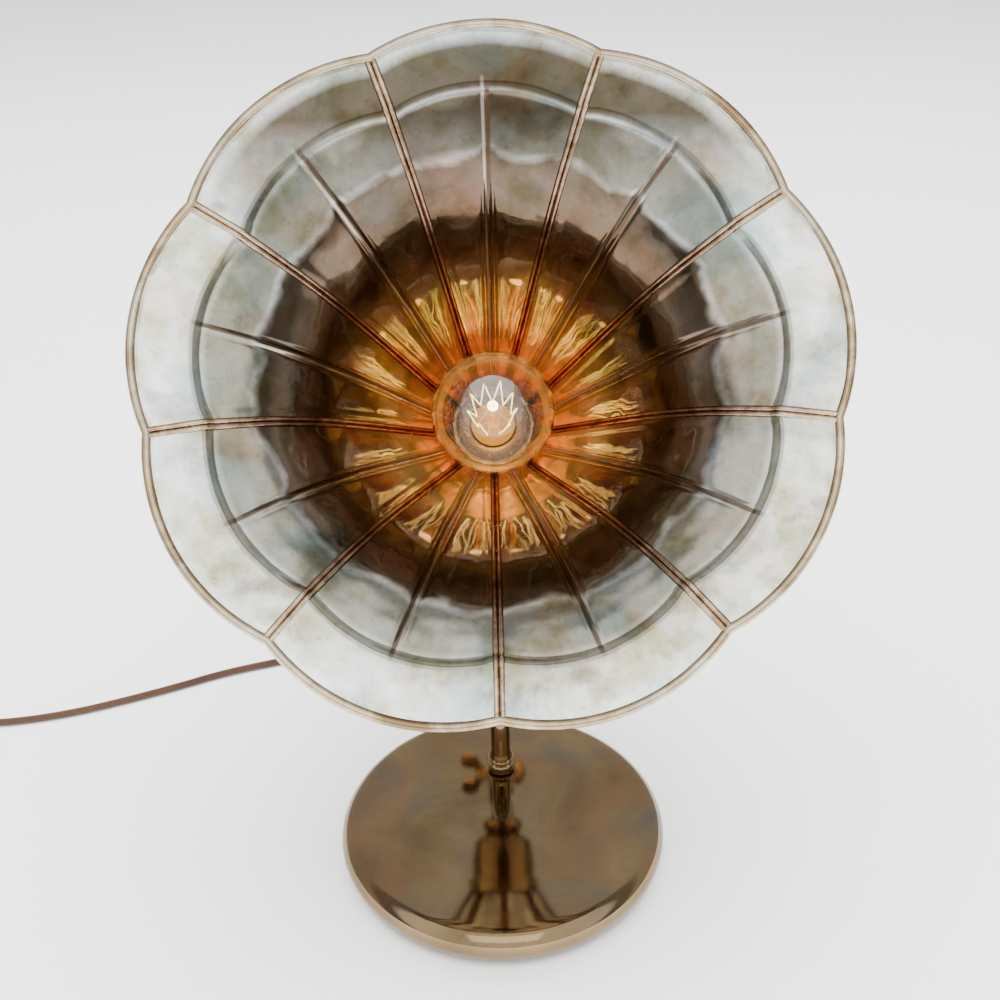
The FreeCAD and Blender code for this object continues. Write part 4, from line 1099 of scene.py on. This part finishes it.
# ---------------------------------------------------------------- bulb
@dataclass
class Bulb:
    """Clear globe, cap, glass stem, mount wires and filament."""

    globe: float = 0.0474
    centre: float = 0.180
    glass: float = 0.0009
    cap_back: float = 0.092
    hairpins: int = 9
    low_ring: float = 0.0135
    high_ring: float = 0.0185
    glow: float = 0.28

    def build_glass(self) -> None:
        """Blow the globe with its neck, give it a thin wall and light it from inside."""
        profile = [(0.0124, 0.106), (0.0124, 0.118), (0.0150, 0.1205), (0.0170, 0.1245),
                   (0.0186, 0.1290), (0.0215, 0.1345), (0.0245, 0.1384)]
        globe = lathe("globe", profile + arc((0, self.centre), self.globe, -53.13, 90, 44), 128)
        wall = globe.modifiers.new("wall", "SOLIDIFY")
        wall.thickness = self.glass
        wall.offset = -1
        apply_modifiers(globe)
        smooth(globe, 60)
        settle(globe, BELL)
        fit(globe, "bulb", Finish.BULB_GLASS, "bulb_glass")
        # The globe casts no shadow, so the small light inside it reaches the petals.
        globe.visible_shadow = False
        glow = bpy.data.lights.new("filament_glow", "POINT")
        glow.energy, glow.color, glow.shadow_soft_size = self.glow, (1.0, 0.42, 0.10), 0.012
        holder = bpy.data.objects.new("filament_glow", glow)
        bpy.context.collection.objects.link(holder)
        holder.location = BELL @ Vector((0, 0, self.centre))
        holder.visible_glossy = holder.visible_camera = holder.visible_transmission = False
        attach(holder, "bulb")

    def build_stem(self) -> None:
        """Draw the trumpet-shaped flare and the rod; the button at its tip is made with the
        filament.
        """
        flare = lathe("stem_flare", [
            (0.0, 0.131), (0.0172, 0.1305), (0.0176, 0.1312), (0.0172, 0.1322), (0.0120, 0.1345),
            (0.0075, 0.1385), (0.0048, 0.1450), (0.0036, 0.1520), (0.0030, 0.1560),
            (0.0016, 0.1580), (0.0013, 0.1700), (0.0013, 0.1980), (0.0, 0.1985)], 48)
        smooth(flare, 60)
        settle(flare, BELL)
        fit(flare, "bulb", Finish.BULB_GLASS, "bulb_stem")
        # The stem's glow is painted light, standing for the filament's light on the glass.
        flare.data.materials.clear()
        flare.data.materials.append(LampGlass(
            "amber_stem_painted_glow", (1.0, 0.56, 0.12), 0.25, (1.0, 0.42, 0.03), 0.5).make())

    def corners(self) -> list[Vector]:
        """Turning points of the zigzag filament, low and high in turn."""
        made = []
        for index in range(2 * self.hairpins - 1):
            turn = math.tau * index / (2 * self.hairpins) - 1.2
            high = index % 2 == 1
            reach = (self.high_ring if high else self.low_ring) * (1 + 0.06 * math.sin(index * 2))
            rise = (0.2050 if high else 0.1560) + 0.0012 * math.sin(index * 3.1)
            made.append(Vector((reach * math.cos(turn), reach * math.sin(turn), rise)))
        return made

    def build_filament(self) -> None:
        """String the filament round the mount and hold it with fine hooks."""
        corners = self.corners()
        path = []
        for before, after in zip(corners, corners[1:]):
            for step in range(6):
                spot = before.lerp(after, step / 6)
                shake = noise.noise_vector(spot * 300) * 0.0004
                path.append(spot + shake)
        path.append(corners[-1])
        wire = bar("filament_wire", path, 0.00030, 8)
        settle(wire, BELL)
        fit(wire, "bulb", Finish.FILAMENT_WIRE, "filament")
        holders = []
        for corner in corners:
            root = Vector((0, 0, 0.203 if corner.z > self.centre else 0.153))
            holders.append(bar("hook", [root, root.lerp(corner, 0.5) + Vector((0, 0, 0.0006)),
                                        corner], 0.00016, 4))
        leads = [bar("lead", [Vector((x, 0, 0.134)), Vector((x * 0.6, 0, 0.154)), corner],
                     0.00028, 4) for x, corner in ((0.005, corners[0]), (-0.005, corners[-1]))]
        deselect()
        bpy.ops.mesh.primitive_uv_sphere_add(segments=32, ring_count=16, radius=0.0040,
                                             location=(0, 0, 0.2030))
        button = named("button")
        bpy.ops.object.transform_apply(location=True)
        smooth(button, 60)
        mount = joined("filament_hooks", holders + leads)
        settle(mount, BELL)
        fit(mount, "bulb", Finish.STEEL, "filament_mount")
        settle(button, BELL)
        fit(button, "bulb", Finish.BULB_GLASS)
        # The glass button's glow is painted light.
        button.data.materials.clear()
        button.data.materials.append(LampGlass(
            "button_painted_glow", (1.0, 0.9, 0.7), 0.5, (1.0, 0.75, 0.45), 5.0).make())

    def build_cap(self) -> None:
        """Roll the screw cap's thread: a wavy wall that climbs one pitch in a turn."""
        pitch, depth, sides = 0.00362, 0.0005, 64
        rounds = 44
        cap = lathe("screw_cap", [(0.0128, self.cap_back + 0.025 * k / rounds)
                                  for k in range(rounds + 1)], sides)
        for vertex in cap.data.vertices:
            turn = math.atan2(vertex.co.y, vertex.co.x) / math.tau
            height = vertex.co.z - self.cap_back
            edge = min(height, 0.025 - height) / 0.003
            wave = math.sin(math.tau * (height / pitch - turn)) * depth * min(edge, 1)
            scale = 1 + (wave - depth) / 0.0128
            vertex.co.x *= scale
            vertex.co.y *= scale
        wall = cap.modifiers.new("wall", "SOLIDIFY")
        wall.thickness = 0.0003
        wall.offset = -1
        apply_modifiers(cap)
        smooth(cap, 60)
        settle(cap, BELL)
        fit(cap, "bulb", Finish.CAP_METAL, "bulb_cap")

    def build(self) -> None:
        """Make the whole bulb."""
        self.build_glass()
        self.build_stem()
        self.build_filament()
        self.build_cap()


# ---------------------------------------------------------------- stand
@dataclass
class Stand:
    """Base disc and collar, turned again with smoother rounding."""

    radius: float = 0.130
    top: float = 0.030
    round: float = 0.014
    felt: float = 0.002
    wall: float = 0.0016
    collar: float = 0.0115

    def build(self) -> None:
        """Make the base's shell and the collar."""
        flat = self.radius - self.round
        middle = (flat, self.top - self.round)
        inner = self.round - self.wall
        profile = [(0.0, self.top), (0.04, self.top), (0.08, self.top), (0.105, self.top),
                   (flat - 0.002, self.top)]
        profile += arc(middle, self.round, 90, -90, 36)
        profile += [(0.112, self.felt), (0.112, self.felt + self.wall)]
        profile += arc(middle, inner, -90, 90, 12) + [(0.0, self.top - self.wall)]
        shell = lathe("base_disc", profile, 160)
        smooth(shell, 40)
        fit(settle(shell, Matrix.Identity(4)), "stand", Finish.PATINATED_BRASS, "base_shell")

        low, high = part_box("arm_collar")
        place = Matrix.Translation(Vector(((low[0] + high[0]) / 2, (low[1] + high[1]) / 2, 0)))
        foot, big, small = low[2], self.collar, self.collar - 0.0014
        rings = [(0.0080, foot), (big, foot)]
        rings += arc((big - 0.0022, foot + 0.0023), 0.0022, -60, 60, 10)
        rings += [(small - 0.0008, foot + 0.0050), (small - 0.0010, foot + 0.0064)]
        rings += arc((small - 0.0004, foot + 0.0080), 0.0014, -70, 70, 10)
        rings += [(small - 0.0006, foot + 0.0098), (small - 0.0010, foot + 0.0122),
                  (small - 0.0020, foot + 0.0145), (0.0081, foot + 0.0150), (0.0080, foot + 0.012)]
        collar = lathe("collar_rings", rings, 72)
        smooth(collar, 40)
        fit(settle(collar, place), "stand", Finish.PATINATED_BRASS, "arm_collar")


# ---------------------------------------------------------------- neck and housing
@dataclass
class Neck:
    """Turned parts behind the bell: neck ring, lamp housing and throat ferrule."""

    tube: float = 0.008
    ring_start: float = 0.046
    back: float = 0.062
    ring: float = 0.020
    foot: float = 0.017
    shoulder: tuple[float, float] = (0.0285, 0.070)
    cup: tuple[float, float] = (0.0315, 0.090)
    mouth: float = 0.127
    wall: float = 0.0013
    bore: float = 0.005
    ferrule: tuple[float, float, float] = (0.036, 0.108, 0.122)

    def turn(self, node: str, profile: Sequence[tuple[float, float]]) -> None:
        """Turn one closed profile and put it in its node's place.

        Args:
            node: the frame's node that the piece replaces.
            profile: (radius, height) stations, without the return to the first.
        """
        piece = lathe(f"{node}_turned", [*profile, profile[0]], 112)
        smooth(piece, 38)
        settle(piece, BELL)
        fit(piece, "horn", Finish.PATINATED_BRASS, node)

    def build(self) -> None:
        """Turn all three parts."""
        ring, start, back = self.ring, self.ring_start, self.back
        self.turn("neck_ring", [
            (self.tube, start), *arc((ring - 0.0075, start + 0.0009), 0.0009, -90, -20, 5),
            (ring - 0.0014, start + 0.0034),
            *arc((ring - 0.0012, start + 0.0056), 0.0012, -50, 0, 5),
            *arc((ring - 0.0012, back - 0.0056), 0.0012, 0, 50, 5),
            *arc((ring - 0.0038, back - 0.0009), 0.0009, 30, 90, 5), (self.tube, back)])
        shoulder, cup, wall = self.shoulder, self.cup, self.wall
        self.turn("lamp_housing", [
            (self.bore, back), *arc((self.foot - 0.001, back + 0.001), 0.001, -90, -40, 5),
            *arc((shoulder[0] - 0.0018, shoulder[1] + 0.0008), 0.0018, -50, -8, 6),
            *arc((cup[0] - 0.0060, cup[1] + 0.0004), 0.0060, -8, 0, 4),
            (cup[0], self.mouth - 0.0004),
            *arc((cup[0] - wall / 2, self.mouth - wall / 2), wall / 2, 0, 180, 8),
            (cup[0] - wall, cup[1] + 0.0004), (shoulder[0] - wall, shoulder[1] + 0.0008),
            (self.foot - 0.0005, back + wall), (self.bore, back + wall)])
        reach, low, high = self.ferrule
        self.turn("throat_ferrule", [
            (cup[0], low), *arc((reach - 0.0008, low + 0.0008), 0.0008, -90, 0, 6),
            (reach, low + 0.0024), (reach - 0.0005, low + 0.0028), (reach - 0.0005, high - 0.0028),
            (reach, high - 0.0024), *arc((reach - 0.0008, high - 0.0008), 0.0008, 0, 90, 6),
            (cup[0], high)])


# ---------------------------------------------------------------- cords
@dataclass
class Cords:
    """The flexible lead: a stretch to the switch, then one to the coil and on to the plug."""

    parts: dict[str, bpy.types.Object]
    radius: float = 0.00325
    stretch: float = 0.0016
    coil_centre: Point = (-0.505, 0.117, 0.0)
    to_switch: tuple[Point, ...] = (
        (0, 0.158, 0.013), (-0.001, 0.178, 0.0095), (-0.007, 0.200, 0.0045),
        (-0.022, 0.221, 0.00325), (-0.041, 0.2356, 0.0045), (-0.062, 0.2416, 0.007),
        (-0.0812, 0.244, 0.007))
    to_coil: tuple[Point, ...] = (
        (-0.1388, 0.251, 0.007), (-0.158, 0.2534, 0.006), (-0.180, 0.2515, 0.00325),
        (-0.205, 0.245, 0.00325), (-0.236, 0.236, 0.00325), (-0.272, 0.2235, 0.00325),
        (-0.306, 0.207, 0.00325), (-0.352, 0.188, 0.00325), (-0.396, 0.172, 0.00325),
        (-0.438, 0.1625, 0.00325), (-0.470, 0.1595, 0.00325), (-0.490, 0.1595, 0.00325))
    tail: tuple[Point, ...] = (
        (-0.5505, 0.106, 0.0075), (-0.5455, 0.0965, 0.0062), (-0.5405, 0.0895, 0.007),
        (-0.540, 0.082, 0.007))
    turns: tuple[tuple[float, float], ...] = (
        (0.04275, 0.00325), (0.03625, 0.00325), (0.02975, 0.00325), (0.0330, 0.00905),
        (0.0395, 0.00905), (0.0460, 0.00905))

    def coil(self) -> list[Point]:
        """Points round the coil: each turn a diameter beside or on top of the one before."""
        per_turn = 16
        made = []
        for index in range(int(5.25 * per_turn) + 1):
            turn, share = divmod(index / per_turn, 1)
            here = self.turns[int(turn)]
            after = self.turns[min(int(turn) + 1, len(self.turns) - 1)]
            blend = max(0.0, (share - 0.7) / 0.3)
            blend = blend * blend * (3 - 2 * blend)
            reach = here[0] + (after[0] - here[0]) * blend
            height = here[1] + (after[1] - here[1]) * blend
            angle = math.pi / 2 + math.tau * index / per_turn
            made.append((self.coil_centre[0] + reach * math.cos(angle),
                         self.coil_centre[1] + reach * math.sin(angle), height))
        return made

    def centreline(self, points: Sequence[Point]) -> list[Vector]:
        """Smooth line that the points control, read back from its spline.

        Args:
            points: control points of a NURBS spline.

        Returns:
            Points along the line.
        """
        curve = bpy.data.curves.new("route", "CURVE")
        curve.dimensions = "3D"
        curve.resolution_u = 16
        spline = curve.splines.new("NURBS")
        spline.points.add(len(points) - 1)
        for place, point in zip(spline.points, points):
            place.co = (*point, 1)
        spline.order_u = 3
        spline.use_endpoint_u = True
        holder = bpy.data.objects.new("route", curve)
        line = bpy.data.meshes.new_from_object(holder)
        made = [vertex.co.copy() for vertex in line.vertices]
        bpy.data.objects.remove(holder)
        bpy.data.meshes.remove(line)
        bpy.data.curves.remove(curve)
        return made

    def even(self, line: Sequence[Vector], gap: float) -> list[Vector]:
        """Cut a line into equal short stretches.

        Args:
            line: points along it.
            gap: about how long a stretch is.

        Returns:
            The ends of the stretches.
        """
        lengths = [0.0]
        for before, after in zip(line, line[1:]):
            lengths.append(lengths[-1] + (after - before).length)
        count = max(int(lengths[-1] / gap), 2)
        made, place = [], 0
        for index in range(count + 1):
            goal = lengths[-1] * index / count
            while place < len(line) - 2 and lengths[place + 1] < goal:
                place += 1
            span = max(lengths[place + 1] - lengths[place], 1e-9)
            made.append(line[place].lerp(line[place + 1], (goal - lengths[place]) / span))
        return made

    def sleeve(self, name: str, points: Sequence[Point]) -> tuple[bpy.types.Object, list[Point]]:
        """Braided sleeve round a centreline.

        Args:
            name: the piece's name.
            points: control points of its route.

        Returns:
            The mesh object and the line that it follows.
        """
        line = self.even(self.centreline(points), self.stretch)
        sides, verts, faces = 20, [], []
        side = Vector((0, 0, 1))
        for index, spot in enumerate(line):
            ahead = line[min(index + 1, len(line) - 1)] - line[max(index - 1, 0)]
            along = ahead.normalized()
            side = (side - along * side.dot(along)).normalized()
            other = along.cross(side)
            for k in range(sides):
                turn = math.tau * k / sides
                verts.append(spot + (side * math.cos(turn) + other * math.sin(turn))
                             * self.radius)
        for ring in range(len(line) - 1):
            for k in range(sides):
                a, b = ring * sides + k, ring * sides + (k + 1) % sides
                faces.append((a, b, b + sides, a + sides))
        faces.append(tuple(range(sides))[::-1])
        faces.append(tuple(range(len(verts) - sides, len(verts))))
        mesh = bpy.data.meshes.new(name)
        mesh.from_pydata(verts, [], faces)
        layer = mesh.uv_layers.new(name="UVMap")
        for face_index, polygon in enumerate(mesh.polygons[:-2]):
            ring, k = divmod(face_index, sides)
            corners = ((k, ring), (k + 1, ring), (k + 1, ring + 1), (k, ring + 1))
            for loop, (around, step) in zip(polygon.loop_indices, corners):
                layer.data[loop].uv = (around / sides, step * self.stretch)
        piece = bpy.data.objects.new(name, mesh)
        bpy.context.collection.objects.link(piece)
        smooth(piece, 60)
        return piece, [tuple(spot) for spot in line]

    def build(self) -> None:
        """Lay both stretches of the lead."""
        first, line = self.sleeve("lead_to_switch", self.to_switch)
        fit(first, "stand", Finish.CORD_TEXTILE, "cord_to_switch")
        LOG.info("lead to the switch: %.3f m", length_of(line))
        whole = list(self.to_coil) + self.coil() + list(self.tail)
        second, line = self.sleeve("lead_to_plug", whole)
        fit(second, "stand", Finish.CORD_TEXTILE, "cord_to_coil", "cord_coil", "cord_tail")
        LOG.info("lead to the plug: %.3f m", length_of(line))


def length_of(line: Sequence[Point]) -> float:
    """Length of a line through points."""
    return sum((Vector(b) - Vector(a)).length for a, b in zip(line, line[1:]))


# ---------------------------------------------------------------- rounded edges
@dataclass
class RoundedParts:
    """Hard-edged parts made again with their edges rounded, each by its own radius."""

    radii: dict[str, float] = field(default_factory=lambda: {
        "knuckle_tilting_half": 0.9, "knuckle_fixed_half": 0.9, "knuckle_bolt": 0.4,
        "wing_nut": 0.9, "retaining_ring": 0.4, "cord_strain_relief": 0.5, "switch_lower": 1.2,
        "switch_upper": 1.2, "switch_rocker": 0.6, "plug_body": 1.2, "plug_pins": 0.3,
        "coil_tie": 0.5, "ferrule_screws": 0.2})
    made: dict[str, bpy.types.Object] = field(default_factory=dict)

    def round_off(self, name: str, node: bpy.types.Object, radius: float) -> bpy.types.Object:
        """Copy a node, clean its faces and round its sharp edges.

        Args:
            name: the new piece's name.
            node: the frame's node.
            radius: the rounding in metres.

        Returns:
            The new piece.
        """
        piece = bpy.data.objects.new(name, node.data.copy())
        piece.data.name = name
        piece.data.transform(node.matrix_world)
        bpy.context.collection.objects.link(piece)
        activate(piece)
        bpy.ops.object.mode_set(mode="EDIT")
        bpy.ops.mesh.select_all(action="SELECT")
        bpy.ops.mesh.remove_doubles(threshold=2e-6)
        bpy.ops.mesh.dissolve_limited(angle_limit=math.radians(1.0))
        bpy.ops.object.mode_set(mode="OBJECT")
        edge = piece.modifiers.new("edge", "BEVEL")
        edge.width, edge.segments, edge.limit_method = radius, 3, "ANGLE"
        edge.angle_limit = math.radians(38)
        apply_modifiers(piece)
        smooth(piece, 30)
        return piece

    def build(self) -> None:
        """Round off every part in the list."""
        slots = {part["node"]: part["material_slot"] for part in frame["record"]["subparts"]}
        for name, radius in self.radii.items():
            node = frame["nodes"][name]
            body = body_of(node)[0]
            piece = self.round_off(f"{name}_rounded", node, radius * MM)
            self.made[name] = fit(piece, body, Finish[slots[name].upper()], name)


# ---------------------------------------------------------------- nodes of the frame
@dataclass
class CarriedNodes:
    """The frame's nodes: each gets the finish of its slot, also where a piece replaces it."""

    slots: dict[str, str] = field(default_factory=dict)

    def build(self) -> None:
        """Dress every node by its slot in the record."""
        for part in frame["record"]["subparts"]:
            self.slots[part["node"]] = part["material_slot"]
        for name, node in frame["nodes"].items():
            finish = Finish[self.slots[name].upper()]
            node.data.materials.clear()
            node.data.materials.append(finish.material())
            LOG.info("node %s: finish %s", name, finish.value.name)


def main() -> None:
    """Build the lamp in order."""
    logging.basicConfig(level=logging.INFO, format="%(name)s: %(message)s")
    studio = Studio()
    studio.camera()
    rounded = RoundedParts()
    rounded.build()
    Cords(rounded.made).build()
    CarriedNodes().build()
    Horn().build()
    Bulb().build()
    Stand().build()
    Neck().build()
    studio.build()


if __name__ == "__main__":
    main()
